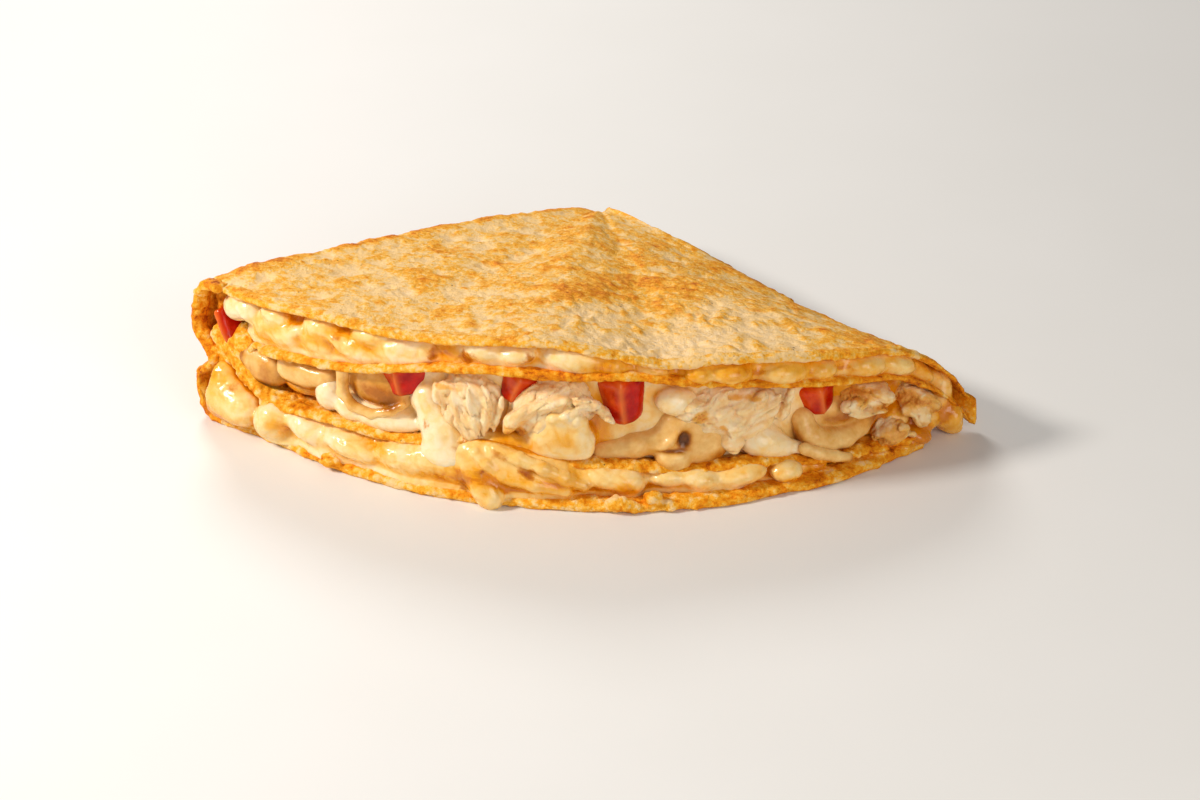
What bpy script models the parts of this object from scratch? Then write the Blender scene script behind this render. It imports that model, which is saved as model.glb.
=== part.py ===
"""Chicken wrap: a round wheat tortilla folded twice into a quarter, with melted cheese between its
sheets, and chicken, mushroom, tomato and cheese in the mouth between the two folded pairs.

Metres, +Z up. The wrap lies flat on Z = 0 with its curved open side towards -Y and the point of the
quarter towards +Y. Places are given from that point: an angle from the middle line (positive
towards +X), a distance out along it, and a height.
"""

import math

import bmesh
import bpy
import numpy as np
from mathutils import Matrix, Vector, noise

MM = 0.001
DEGREE = math.radians(1)

# The tortilla: a 300 mm round, 2 mm thick.
TORTILLA_RADIUS = 150 * MM
SHEET = 2.0 * MM
GAP = 0.4 * MM
POINT = Vector((0.73 * MM, 76.45 * MM, 0))

# Its folds, seen from the front. The last fold is on the left and holds all four sheets. The first
# fold is on the right and joins the sheets in pairs, so the mouth is open there.
OUTER_FOLD = -44.5 * DEGREE
INNER_FOLD = -38 * DEGREE
OUTER_BULGE = 10.5 * MM
INNER_BULGE_SHARE = 0.35
EDGE_BULGE = 2.2 * MM
PINCH_DEPTH = 7.5 * MM
PINCH_HEIGHT = 19 * MM
PINCH_REACH = 4.5 * MM
NOSE_LENGTH = 5 * MM
NOSE_DEPTH = 2 * MM
NOSE_HEIGHT = 8 * MM
POCKET_START = 32 * MM

# Heights at the rim, as (degrees from the middle line, millimetres).
TOP_AT_RIM = ((-45, 45.8), (-37, 45.6), (-30, 46.3), (-19, 46), (-10, 48.4), (-4, 49.6),
              (3, 46.6), (9, 43), (15, 43.2), (21, 41.4), (28, 38.6), (34, 36.2), (48, 36))
UPPER_PAIR_AT_RIM = ((-42, 26.5), (-33, 30), (-26, 32.5), (-18, 36), (-12, 37.6), (0, 36.9),
                     (5, 36.7), (11, 34), (17, 31.8), (25, 29.2), (33, 27.5), (48, 28))
LOWER_PAIR_AT_RIM = ((-42, 12.5), (-30, 15), (-20, 14.6), (-11, 15.4), (-5, 13.8), (0, 12),
                     (6, 11), (11, 9.2), (20, 9), (25, 7), (31, 5.6), (48, 5.2))
LIP_DROOP_AT_RIM = ((-45, 4), (-37, 3), (-20, 1.8), (-5, 0.8), (48, 0.6))
LIP_START = 0.86
TOP_AT_POINT = 17.4 * MM
UPPER_PAIR_AT_POINT = 10.5 * MM
LOWER_PAIR_AT_POINT = 8.5 * MM
RISE_POWER = 0.72

# How far the upper pair hangs down along the open side, as (millimetres out, share of height left).
TOP_HANG = ((0, 1.12), (20, 1), (45, 0.84), (80, 0.68), (110, 0.58), (135, 0.48), (150, 0.3))
UPPER_PAIR_HANG = ((0, 0.95), (40, 0.65), (80, 0.48), (110, 0.4), (135, 0.3), (150, 0.14))
HANG_WIDTH = 34 * MM

# Where the open side's two folded edges lie, as (millimetres out, degrees).
UPPER_EDGE = ((0, 43.5), (100, 43.5), (130, 45), (150, 46.5))
LOWER_EDGE = ((0, 43), (110, 42), (150, 39.5))

# The tortilla's grid: points along each stretch of the closed loop round its sheets, and rings.
LOOP_STEPS = {"top": 22, "outer": 8, "bottom": 11, "lower": 3, "third": 15, "inner": 5,
              "second": 19, "upper": 3}
RIM_RADII = {"top": 147, "outer": 149, "lower": 148, "third": 148, "inner": 146, "second": 148,
             "upper": 150}
BOTTOM_RIM = ((-45, 149), (-38, 146.5), (-31, 148.5), (-24, 150.5), (-18, 152), (-5, 153.4),
              (13, 154.5), (20, 153), (32, 150.5), (39, 148))
RINGS = (0.004, 0.015, 0.04, 0.09, 0.15, 0.22, 0.32, 0.45, 0.59, 0.73, 0.85, 0.93, 1.0)
RAGGED_RIM = 1.0 * MM

# Pieces in the mouth: degrees, millimetres out and up to the middle, then width, depth and height,
# the tilt seen from the front and, for chicken, the seed of its lumps.
CHICKEN = {
    "chicken_left": (-12.4, 138.5, 25.6, 20, 20, 21, 16, 3),
    "chicken_middle": (-3.4, 138, 25.2, 26, 21, 22, -12, 8),
    "chicken_right": (16.2, 138.5, 23.4, 35, 19, 16, 4, 21),
    "chicken_far_right": (33.2, 138.5, 18.6, 17, 18, 11, 4, 30),
    "chicken_end": (40.2, 142, 11.6, 15, 15, 13, 22, 41),
    "chicken_scrap": (36, 145, 6.6, 12, 12, 6, -8, 52),
}
TOMATO = {
    "tomato_fold": (-44.6, 143, 30.2, 4.4, 9, 11, -34),
    "tomato_left": (-20.3, 139.5, 29.6, 18, 12, 8, -6),
    "tomato_middle": (-7, 140, 31.6, 13, 11, 9, 20),
    "tomato_wedge": (4.6, 140, 30.4, 16, 12, 12.6, -8),
    "tomato_right": (27.2, 140, 22.4, 13.5, 11, 9, -10),
}

# Melted cheese: how far out each layer comes, as (degrees, millimetres), and the blobs that stand
# out of it: degrees, millimetres out and up, then width, depth, height and tilt.
UPPER_FRONT = ((-43, 143), (-40, 145.5), (-36.5, 144.5), (-32, 146.5), (-28, 145.5), (-23, 146.5),
               (-18.5, 144), (-16, 142), (-12, 144), (-8, 144.6), (-5.4, 142), (-1, 145),
               (4, 143.6), (7.4, 141), (10, 141.6), (14, 144), (18, 142), (22, 144), (26, 141.5),
               (31, 142.6), (36, 144), (39, 142), (42, 141))
MIDDLE_FRONT = ((-37, 137), (-30, 139), (-20, 141), (-8, 138), (0, 141), (10, 139), (20, 140.5),
                (30, 138), (36, 139), (42, 141))
LOWER_FRONT = ((-42, 146), (-39, 145.5), (-36, 148), (-33, 146), (-29, 148), (-25, 147),
               (-20, 149.5), (-12, 150), (-2, 150), (1, 147.5), (4, 149.6), (8, 147),
               (13, 149.6), (17, 149), (19.5, 146.5), (22, 149.4), (25, 146), (28, 144))
UPPER_BLOBS = (
    (-40.6, 140.5, 36.2, 13, 14, 9, 14),
    (-30.5, 141.5, 37, 24, 12, 9, 6),
)
MIDDLE_BLOBS = (
    (-29.3, 142, 20.8, 10, 12, 11.5, 8),
    (-22.4, 143.6, 17.8, 23, 11, 7.4, 5),
    (-17.6, 141, 25.8, 11, 12, 14, 0),
    (-15.4, 146.8, 15.6, 9, 9, 13, 0),
    (-1.2, 144, 20.2, 20, 12, 13, -8),
    (10.4, 139.5, 29.4, 14, 12, 9, 0),
    (20.6, 142, 12.8, 16, 13, 9, 10),
    (23.8, 141, 17.4, 11, 12, 9, 0),
    (42.4, 130, 6.4, 12, 18, 7.4, 10),
    (44.2, 142.8, 6, 7.6, 16, 9.6, 10),
    (44.9, 146.3, 3, 6.8, 8, 7, 0),
)
LOWER_BLOBS = (
    (-44, 147, 8.8, 18, 14, 15, 4),
    (-44.8, 147, 15.2, 10, 9, 9, -20),
    (-48.9, 147, 9.4, 8, 5.4, 3.8, -12),
    (-36.2, 146.5, 9, 11, 11, 10, -12),
    (-9.8, 147, 10.6, 34, 14, 13, 8),
    (-3, 147.4, 9.4, 22, 11, 10, 16),
    (-8.9, 151.6, 4.2, 9.5, 9, 8.4, 0),
    (22.4, 146.8, 4.6, 10, 9, 6.4, 0),
)


def smooth_curve(points, x_unit=DEGREE, y_unit=MM):
    """A smooth function through the points, flat beyond both ends."""
    x, y = np.array(points, float).T
    slope = np.gradient(y, x)

    def read(value):
        v = np.clip(np.asarray(value, float) / x_unit, x[0], x[-1])
        i = np.clip(np.searchsorted(x, v) - 1, 0, len(x) - 2)
        step = x[i + 1] - x[i]
        t = (v - x[i]) / step
        start = (1 + 2 * t) * (1 - t) ** 2 * y[i] + t * (1 - t) ** 2 * step * slope[i]
        end = t * t * (3 - 2 * t) * y[i + 1] + t * t * (t - 1) * step * slope[i + 1]
        return (start + end) * y_unit

    return read


top_at_rim = smooth_curve(TOP_AT_RIM)
upper_pair_at_rim = smooth_curve(UPPER_PAIR_AT_RIM)
lower_pair_at_rim = smooth_curve(LOWER_PAIR_AT_RIM)
lip_droop_at_rim = smooth_curve(LIP_DROOP_AT_RIM)
bottom_rim = smooth_curve(BOTTOM_RIM)
top_hang = smooth_curve(TOP_HANG, MM, 1)
upper_pair_hang = smooth_curve(UPPER_PAIR_HANG, MM, 1)
upper_edge = smooth_curve(UPPER_EDGE, MM, DEGREE)
lower_edge = smooth_curve(LOWER_EDGE, MM, DEGREE)


def rise(rho, at_point, at_rim):
    """A sheet climbs quickly from the point of the quarter and levels out towards the rim."""
    return at_point + (at_rim - at_point) * (rho / TORTILLA_RADIUS) ** RISE_POWER


def hang(rho, theta, lowest):
    """The share of its height that the upper pair keeps near the open side."""
    width = np.clip(0.9 * rho, 1e-6, HANG_WIDTH)
    room = rho * (upper_edge(rho) - theta)
    return lowest + (1 - lowest) * np.sin(math.pi / 2 * np.clip(room / width, 0, 1)) ** 0.8


def top_of_wrap(rho, theta):
    lip = np.clip((rho / TORTILLA_RADIUS - LIP_START) / (1 - LIP_START), 0, 1)
    droop = lip_droop_at_rim(theta) * lip ** 2
    return rise(rho, TOP_AT_POINT, top_at_rim(theta)) * hang(rho, theta, top_hang(rho)) - droop


def under_upper_pair(rho, theta):
    height = rise(rho, UPPER_PAIR_AT_POINT, upper_pair_at_rim(theta))
    return height * hang(rho, theta, upper_pair_hang(rho))


def over_lower_pair(rho, theta):
    return rise(rho, LOWER_PAIR_AT_POINT, lower_pair_at_rim(theta))


def place(rho, theta, z, bulge=0.0):
    """World points. A bulge pushes a point sideways, square to the fold that it lies on."""
    rho, theta, z, bulge = np.broadcast_arrays(rho, theta, z, bulge)
    along = np.clip(rho / NOSE_LENGTH, 0, 1)
    round_off = np.sqrt(1 - (1 - along) ** 2)
    side = np.sign(theta)
    x = rho * np.sin(theta) + side * bulge * np.cos(theta) * round_off
    y = -rho * np.cos(theta) + side * bulge * np.sin(theta) * round_off * along
    y = y + NOSE_DEPTH * (1 - along)
    z = NOSE_HEIGHT + (z - NOSE_HEIGHT) * round_off
    return np.stack([POINT.x + x, POINT.y + y, z], axis=-1)


def fold(z_from, z_to, bulge, steps):
    """The heights and bulges of a folded edge between two sheets, without its ends."""
    turn = np.linspace(0, math.pi, steps + 2)[1:-1]
    level = np.sign(np.cos(turn)) * np.abs(np.cos(turn)) ** 0.8
    return (z_from + z_to) / 2 + (z_from - z_to) / 2 * level, bulge * np.sin(turn) ** 0.55


def sheet_loop(share, inset):
    """One closed loop round the four sheets at a share of the way from point to rim. inset 0 is the
    tortilla's outer skin, and inset SHEET its inner skin, which faces the cheese."""
    rows = []
    middle = share * TORTILLA_RADIUS
    top_end, low_end = float(upper_edge(middle)), float(lower_edge(middle))

    def add(name, theta, z_at, bulge=0.0):
        radius = bottom_rim(theta) if name == "bottom" else RIM_RADII[name] * MM
        ragged = [RAGGED_RIM * noise.noise(Vector((t * 16, len(rows), 0.5))) for t in theta]
        rho = share * (radius + np.array(ragged))
        rows.append(place(rho, theta, z_at(rho, theta), bulge))

    def add_fold(name, theta, z_from, z_to, bulge):
        z, push = fold(z_from, z_to, bulge, LOOP_STEPS[name])
        if name == "outer":
            push = push - PINCH_DEPTH * np.exp(-(((z - PINCH_HEIGHT) / PINCH_REACH) ** 2)) * share
        add(name, np.full(len(z), theta), lambda rho, t: z, push)

    def top_z(rho, t):
        return top_of_wrap(rho, t) - inset

    def second_z(rho, t):
        return under_upper_pair(rho, t) + inset

    def third_z(rho, t):
        return over_lower_pair(rho, t) - inset

    def span(start, end, name):
        return np.linspace(start, end, LOOP_STEPS[name])

    mouth = under_upper_pair(middle, INNER_FOLD) - over_lower_pair(middle, INNER_FOLD)
    inner_bulge = INNER_BULGE_SHARE * mouth + inset
    add("top", span(top_end, OUTER_FOLD, "top"), top_z)
    outer_bulge = OUTER_BULGE * (0.75 + 0.3 * share ** 2) - inset
    add_fold("outer", OUTER_FOLD, top_z(middle, OUTER_FOLD), inset, outer_bulge)
    add("bottom", span(OUTER_FOLD, low_end, "bottom"), lambda rho, t: inset + 0 * t)
    add_fold("lower", low_end, inset, third_z(middle, low_end), EDGE_BULGE - inset)
    add("third", span(low_end, INNER_FOLD, "third"), third_z)
    add_fold("inner", INNER_FOLD, third_z(middle, INNER_FOLD), second_z(middle, INNER_FOLD),
             inner_bulge)
    add("second", span(INNER_FOLD, top_end, "second"), second_z)
    add_fold("upper", top_end, second_z(middle, top_end), top_z(middle, top_end),
             EDGE_BULGE - inset)
    return np.concatenate(rows)


def mesh_object(name, bm, material=None):
    """Makes an object of a bmesh: its faces are flat and turned outwards."""
    bmesh.ops.triangulate(bm, faces=[f for f in bm.faces if len(f.verts) == 4])
    bmesh.ops.recalc_face_normals(bm, faces=bm.faces)
    mesh = bpy.data.meshes.new(name)
    bm.to_mesh(mesh)
    bm.free()
    obj = bpy.data.objects.new(name, mesh)
    bpy.context.scene.collection.objects.link(obj)
    if material:
        mesh.materials.append(material)
    return obj


def loft(rings):
    """A closed body through rings of points, each end closed by one face."""
    bm = bmesh.new()
    loops = [[bm.verts.new(p) for p in ring] for ring in rings]
    for near, far in zip(loops, loops[1:]):
        count = len(near)
        for i in range(count):
            k = (i + 1) % count
            bm.faces.new((near[i], near[k], far[k], far[i]))
    bm.faces.new(loops[0])
    bm.faces.new(loops[-1][::-1])
    return bm


def seat(theta, rho, z, tilt=0.0, lean=0.0):
    """A frame for a piece: X runs right along the front, Y back into the wrap, and Z up. tilt turns
    it as seen from the front, and lean tips its top back. Degrees and millimetres."""
    angle = theta * DEGREE
    spot = Vector(place(rho * MM, angle, z * MM))
    turn = Matrix.Rotation(angle, 4, "Z") @ Matrix.Rotation(tilt * DEGREE, 4, "Y")
    return Matrix.Translation(spot) @ turn @ Matrix.Rotation(-lean * DEGREE, 4, "X")


def make_cutter(obj):
    """A hidden copy whose faces all stand further out, to cut with so that a gap is left."""
    bm = bmesh.new()
    bm.from_mesh(obj.data)
    bm.normal_update()
    moves = [v.normal * GAP * min(v.calc_shell_factor(), 1.8) for v in bm.verts]
    for vert, move in zip(bm.verts, moves):
        vert.co += move
    cutter = mesh_object(obj.name + "_cutter", bm)
    cutter.hide_render = True
    cutter.display_type = "WIRE"
    return cutter


def boolean(obj, operation, others):
    """One Boolean with a collection of the others, applied. The others are then removed."""
    group = bpy.data.collections.new("operands")
    bpy.context.scene.collection.children.link(group)
    for other in others:
        group.objects.link(other)
    modifier = obj.modifiers.new(operation.title(), "BOOLEAN")
    modifier.operation = operation
    modifier.operand_type = "COLLECTION"
    modifier.collection = group
    modifier.solver = "EXACT"
    modifier.use_self = True
    bpy.context.view_layer.objects.active = obj
    bpy.ops.object.modifier_apply(modifier=modifier.name)
    for other in list(group.objects):
        bpy.data.objects.remove(other)
    bpy.data.collections.remove(group)


def keep_largest(obj):
    """Drops the loose scraps that a cut leaves."""
    bm = bmesh.new()
    bm.from_mesh(obj.data)
    left = set(bm.verts)
    bodies = []
    while left:
        body, front = set(), [left.pop()]
        while front:
            vert = front.pop()
            body.add(vert)
            near = [e.other_vert(vert) for e in vert.link_edges]
            front += [n for n in near if n in left]
            left.difference_update(near)
        bodies.append(body)
    largest = max(bodies, key=len)
    bmesh.ops.delete(bm, geom=[v for v in bm.verts if v not in largest], context="VERTS")
    bm.to_mesh(obj.data)
    bm.free()


def cut_clear(obj, cutters):
    """Cuts a piece with copies of every cutter whose box meets its own."""
    low, high = box(obj)
    close = []
    for cutter in cutters:
        cutter_low, cutter_high = box(cutter)
        if np.all(low < cutter_high) and np.all(high > cutter_low):
            close.append(cutter.copy())
    if close:
        boolean(obj, "DIFFERENCE", close)
        keep_largest(obj)


def box(obj):
    points = np.array([v.co for v in obj.data.vertices])
    return points.min(axis=0), points.max(axis=0)


def make_tortilla(material):
    """One sheet in four layers: outer skin, rounded rim and inner skin are one closed surface."""
    outer = [sheet_loop(share, 0.0) for share in RINGS]
    outer[0][:, 1] = outer[0][:, 1].mean()
    pocket = [s for s in RINGS if s * TORTILLA_RADIUS >= POCKET_START]
    inner = [sheet_loop(share, SHEET) for share in reversed(pocket)]
    lip = (outer[-1] + inner[0]) / 2
    out = lip - np.array(POINT)
    out[:, 2] = 0
    lip = lip + 0.5 * MM * out / np.linalg.norm(out, axis=1, keepdims=True)
    return mesh_object("tortilla", loft(outer + [lip] + inner), material)


def make_layer(name, material, span, low, high, front, steps, depths=(45, 105)):
    """A layer of cheese that runs through the wrap between two sheets, to a rounded lumpy front."""
    rings = []
    for angle in np.linspace(span[0] * DEGREE, span[1] * DEGREE, steps):
        edge = float(front(angle))
        rho = np.array([*(d * MM for d in depths), edge - 3 * MM])
        upper, lower = high(rho, angle), low(rho, angle)
        nose = [(edge - step * MM, upper[-1] + (lower[-1] - upper[-1]) * share)
                for step, share in ((0.8, 0.2), (0, 0.5), (0.8, 0.8))]
        section = [*zip(rho, upper), *nose, *zip(rho[::-1], lower[::-1])]
        rings.append([Vector(place(r, angle, z)) for r, z in section])
    return mesh_object(name, loft(rings), material)


def make_blob(name, theta, rho, z, width, depth, height, tilt):
    bm = bmesh.new()
    bmesh.ops.create_uvsphere(bm, u_segments=9, v_segments=6, radius=0.5 * MM)
    for vert in bm.verts:
        vert.co = Vector((vert.co.x * width, vert.co.y * depth, vert.co.z * height))
    bm.transform(seat(theta, rho, z, tilt))
    return mesh_object(name, bm)


def add_blobs(layer, blobs):
    """Fuses blobs to a layer, and returns cutters that keep the next layer clear of them."""
    parts = [make_blob(layer.name + "_blob", *blob) for blob in blobs]
    cutters = [make_cutter(part) for part in parts]
    boolean(layer, "UNION", parts)
    return cutters


def rest_on_board(obj):
    """Flattens the foot of what runs down to the board."""
    bm = bmesh.new()
    bm.from_mesh(obj.data)
    for vert in bm.verts:
        vert.co.z = max(vert.co.z, 0.05 * MM)
    bm.to_mesh(obj.data)
    bm.free()


def make_chicken(name, material, theta, rho, z, width, depth, height, tilt, seed):
    """A torn chunk of breast meat: a squarish lump with fibres along its length and ragged ends."""
    bm = bmesh.new()
    bmesh.ops.create_uvsphere(bm, u_segments=10, v_segments=7, radius=1)
    for vert in bm.verts:
        p = Vector([math.copysign(abs(c) ** 0.72, c) for c in vert.co])
        lump = noise.noise(p * 1.1 + Vector((seed, 0, 0)))
        fibre = noise.noise(Vector((p.x + seed, p.y * 3.2, p.z * 3.2)))
        p *= 1 + 0.22 * lump + 0.16 * fibre
        vert.co = Vector((p.x * width, p.y * depth, p.z * height)) * 0.46 * MM
    bm.transform(seat(theta, rho, z, tilt))
    return mesh_object(name, bm, material)


def make_tomato(name, material, theta, rho, z, width, depth, height, tilt):
    """A diced piece of tomato: a block that narrows downwards, with its edges rounded."""
    bm = bmesh.new()
    bmesh.ops.create_cube(bm, size=1)
    for vert in bm.verts:
        narrow = 1 - 0.35 * (0.5 - vert.co.z)
        skew = 0.12 * vert.co.z * vert.co.y
        vert.co = Vector(((vert.co.x * narrow + skew) * width, vert.co.y * depth,
                          vert.co.z * height)) * MM
    bmesh.ops.bevel(bm, geom=bm.edges, offset=0.16 * min(width, height) * MM, segments=2,
                    profile=0.6, affect="EDGES")
    bm.transform(seat(theta, rho, z, tilt))
    return mesh_object(name, bm, material)


def crescent(length, width, height, hook, stations=10, sides=8):
    """A thick crescent, as of a mushroom cap: it lies along X and both its ends turn up by hook."""
    rings = []
    for i in range(stations):
        turn = -1 + 2 * (i + 0.5) / stations
        fat = math.sqrt(1 - turn ** 2) ** 0.6
        centre = Vector((turn * (length - height * 0.5) / 2, 0, hook * (turn ** 2 - 0.4)))
        slope = math.atan2(4 * hook * turn, length)
        ring = []
        for k in range(sides):
            a = 2 * math.pi * k / sides
            across = Vector((-math.sin(slope) * math.sin(a) * height / 2,
                             math.cos(a) * width / 2,
                             math.cos(slope) * math.sin(a) * height / 2))
            ring.append((centre + across * fat) * MM)
        rings.append(ring)
    return loft(rings)


def rounded(outline, share=0.25):
    """Cuts every corner of a closed outline."""
    points = []
    for (x0, z0), (x1, z1) in zip(outline, outline[1:] + outline[:1]):
        points.append((x0 + (x1 - x0) * share, z0 + (z1 - z0) * share))
        points.append((x1 + (x0 - x1) * share, z1 + (z0 - z1) * share))
    return points


def mushroom_slice(cap, stem_length, stem_width, thickness):
    """A lengthways slice of a mushroom, its stem towards -X and its cut face towards -Y: the cap is
    a half round whose rim curls in beside the stem."""
    half = cap / 2
    outline = []
    for i in range(9):
        a = (-100 + 200 * i / 8) * DEGREE
        outline.append((0.8 * half * math.cos(a), half * math.sin(a)))
    outline += [(-half * 0.5, half * 0.7), (-half * 0.05, stem_width * 0.5),
                (-stem_length, stem_width * 0.5), (-stem_length, -stem_width * 0.5),
                (-half * 0.05, -stem_width * 0.5), (-half * 0.5, -half * 0.7)]
    outline = rounded(outline)
    rings = []
    for y, shrink in ((-0.5, 0.9), (-0.3, 1), (0.3, 1), (0.5, 0.9)):
        rings.append([Vector((x * shrink, y * thickness, z * shrink)) * MM for x, z in outline])
    return loft(rings)


def make_mushrooms(material):
    """The slices that show in the mouth, from the left."""
    pieces = []

    def add(name, bm, *spot):
        bm.transform(seat(*spot))
        pieces.append(mesh_object(name, bm, material))

    add("mushroom_fold", crescent(14, 14, 8, 3), -37.4, 139.5, 22, 6, 30)
    add("mushroom_left", crescent(16, 15, 8.5, -2), -32, 139.5, 25, 8, 20)
    add("mushroom_brown", crescent(22, 13, 13, 3), -23.8, 140.5, 24.4, 32, 8)
    add("mushroom_middle", mushroom_slice(19, 22, 8, 7), 10.6, 142.6, 16.8, -12, 4)
    add("mushroom_curl", crescent(29, 15, 10.5, 4.5), 28.4, 140.8, 14.8, 8, 10)
    add("mushroom_strip", crescent(17, 9, 4.4, 1), 26.4, 145.5, 9.2, 12, 0)
    return pieces


def shade_smooth(obj):
    obj.data.shade_smooth()
    obj.data.set_sharp_from_angle(angle=40 * DEGREE)


def clear_scene():
    for obj in list(bpy.data.objects):
        bpy.data.objects.remove(obj)


def make_material(name, colour, roughness):
    material = bpy.data.materials.new(name)
    material.use_nodes = True
    shader = material.node_tree.nodes["Principled BSDF"]
    shader.inputs["Base Color"].default_value = (*colour, 1)
    shader.inputs["Roughness"].default_value = roughness
    shader.inputs["Metallic"].default_value = 0
    return material


def make_layers(material, cutters):
    """The cheese between each folded pair, and the filling between the two pairs."""
    room = 2 * GAP

    def upper_low(rho, theta):
        return under_upper_pair(rho, theta) + SHEET + room

    def upper_high(rho, theta):
        return top_of_wrap(rho, theta) - SHEET - room

    def middle_low(rho, theta):
        return over_lower_pair(rho, theta) + room

    def middle_high(rho, theta):
        return under_upper_pair(rho, theta) - room

    def lower_low(rho, theta):
        return SHEET + room + 0 * rho

    def lower_high(rho, theta):
        return over_lower_pair(rho, theta) - SHEET - room

    layers = (
        ("cheese_upper", (-42.5, 42), upper_low, upper_high, UPPER_FRONT, 28, UPPER_BLOBS),
        ("cheese_middle", (-36.5, 41.5), middle_low, middle_high, MIDDLE_FRONT, 20, MIDDLE_BLOBS),
        ("cheese_lower", (-41.5, 28), lower_low, lower_high, LOWER_FRONT, 28, LOWER_BLOBS),
    )
    made = []
    for name, span, low, high, front, steps, blobs in layers:
        layer = make_layer(name, material, span, low, high, smooth_curve(front), steps)
        blob_cutters = add_blobs(layer, blobs)
        rest_on_board(layer)
        cut_clear(layer, cutters)
        cutters += blob_cutters
        made.append(layer)
    return made


clear_scene()
tortilla = make_tortilla(make_material("tortilla", (0.8, 0.56, 0.28), 0.75))
tomato_flesh = make_material("tomato", (0.55, 0.05, 0.02), 0.3)
mushroom_flesh = make_material("mushroom", (0.46, 0.29, 0.14), 0.45)
chicken_meat = make_material("chicken", (0.78, 0.6, 0.4), 0.55)
melted_cheese = make_material("cheese", (0.88, 0.66, 0.32), 0.35)

pieces = [make_tomato(name, tomato_flesh, *spot) for name, spot in TOMATO.items()]
pieces += make_mushrooms(mushroom_flesh)
pieces += [make_chicken(name, chicken_meat, *spot) for name, spot in CHICKEN.items()]
cutters = [make_cutter(tortilla)]
for piece in pieces:
    cutter = make_cutter(piece)
    cut_clear(piece, cutters)
    cutters.append(cutter)
layers = make_layers(melted_cheese, cutters)
for cutter in cutters:
    bpy.data.objects.remove(cutter)
for obj in [tortilla, *pieces, *layers]:
    shade_smooth(obj)
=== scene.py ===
"""Render scene of the chicken wrap: detailed pieces over the CAD solids, materials and light.

Metres, +Z up, in the CAD frame. Places are given from the point of the quarter, as in the part's
source: an angle from the middle line in degrees, then millimetres out along it and up.
"""
import math

import bpy
import numpy as np
from mathutils import Matrix, Vector, noise


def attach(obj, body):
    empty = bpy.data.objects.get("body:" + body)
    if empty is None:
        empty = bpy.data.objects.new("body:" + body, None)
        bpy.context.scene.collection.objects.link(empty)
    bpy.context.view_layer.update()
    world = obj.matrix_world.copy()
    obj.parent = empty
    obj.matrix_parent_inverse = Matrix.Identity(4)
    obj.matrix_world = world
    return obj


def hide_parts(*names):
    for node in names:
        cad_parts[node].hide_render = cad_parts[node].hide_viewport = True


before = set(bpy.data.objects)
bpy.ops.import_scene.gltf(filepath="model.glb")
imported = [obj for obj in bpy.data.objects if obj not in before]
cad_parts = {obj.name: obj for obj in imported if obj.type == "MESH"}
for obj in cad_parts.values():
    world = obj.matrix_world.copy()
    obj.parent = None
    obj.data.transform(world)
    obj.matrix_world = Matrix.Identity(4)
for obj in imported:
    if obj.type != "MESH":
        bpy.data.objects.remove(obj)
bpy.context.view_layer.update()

MM = 0.001
DEGREE = math.radians(1)

# The same named values as in the part's source, down to the ragged rim. The top sheet's rim
# droops less here at the left, and the fronts of the cheese differ in places.
TORTILLA_RADIUS = 150 * MM
SHEET = 2.0 * MM
GAP = 0.4 * MM
POINT = Vector((0.73 * MM, 76.45 * MM, 0))
OUTER_FOLD = -44.5 * DEGREE
INNER_FOLD = -38 * DEGREE
OUTER_BULGE = 10.5 * MM
INNER_BULGE_SHARE = 0.35
EDGE_BULGE = 2.2 * MM
PINCH_DEPTH = 7.5 * MM
PINCH_HEIGHT = 19 * MM
PINCH_REACH = 4.5 * MM
NOSE_LENGTH = 5 * MM
NOSE_DEPTH = 2 * MM
NOSE_HEIGHT = 8 * MM
TOP_AT_RIM = ((-45, 45.8), (-37, 45.6), (-30, 46.3), (-19, 46), (-10, 48.4), (-4, 49.6),
              (3, 46.6), (9, 43), (15, 43.2), (21, 41.4), (28, 38.6), (34, 36.2), (48, 36))
UPPER_PAIR_AT_RIM = ((-42, 26.5), (-33, 30), (-26, 32.5), (-18, 36), (-12, 37.6), (0, 36.9),
                     (5, 36.7), (11, 34), (17, 31.8), (25, 29.2), (33, 27.5), (48, 28))
LOWER_PAIR_AT_RIM = ((-42, 12.5), (-30, 15), (-20, 14.6), (-11, 15.4), (-5, 13.8), (0, 12),
                     (6, 11), (11, 9.2), (20, 9), (25, 7), (31, 5.6), (48, 5.2))
LIP_DROOP_AT_RIM = ((-45, 3), (-37, 0.8), (-30, -0.6), (-20, -0.8), (-10, 0.2), (48, 0.6))
LIP_START = 0.86
TOP_AT_POINT = 17.4 * MM
UPPER_PAIR_AT_POINT = 10.5 * MM
LOWER_PAIR_AT_POINT = 8.5 * MM
RISE_POWER = 0.72
TOP_HANG = ((0, 1.12), (20, 1), (45, 0.84), (80, 0.68), (110, 0.58), (135, 0.48), (150, 0.3))
UPPER_PAIR_HANG = ((0, 0.95), (40, 0.65), (80, 0.48), (110, 0.4), (135, 0.3), (150, 0.14))
HANG_WIDTH = 34 * MM
UPPER_EDGE = ((0, 43.5), (100, 43.5), (130, 45), (150, 46.5))
LOWER_EDGE = ((0, 43), (110, 42), (150, 39.5))
RIM_RADII = {"top": 147, "outer": 149, "lower": 148, "third": 148, "inner": 146, "second": 148,
             "upper": 150}
BOTTOM_RIM = ((-45, 149), (-38, 146.5), (-31, 148.5), (-24, 150.5), (-18, 152), (-5, 153.4),
              (13, 154.5), (20, 153), (32, 150.5), (39, 148))
RAGGED_RIM = 1.0 * MM

# How much lower than in the part the second sheet's rim hangs.
SECOND_SAG = ((-45, 0), (-36, 0.6), (-26, 1.6), (-16, 0.6), (-6, 0), (26, 0), (34, 1.8), (40, 3.4),
              (46, 3))

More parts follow.
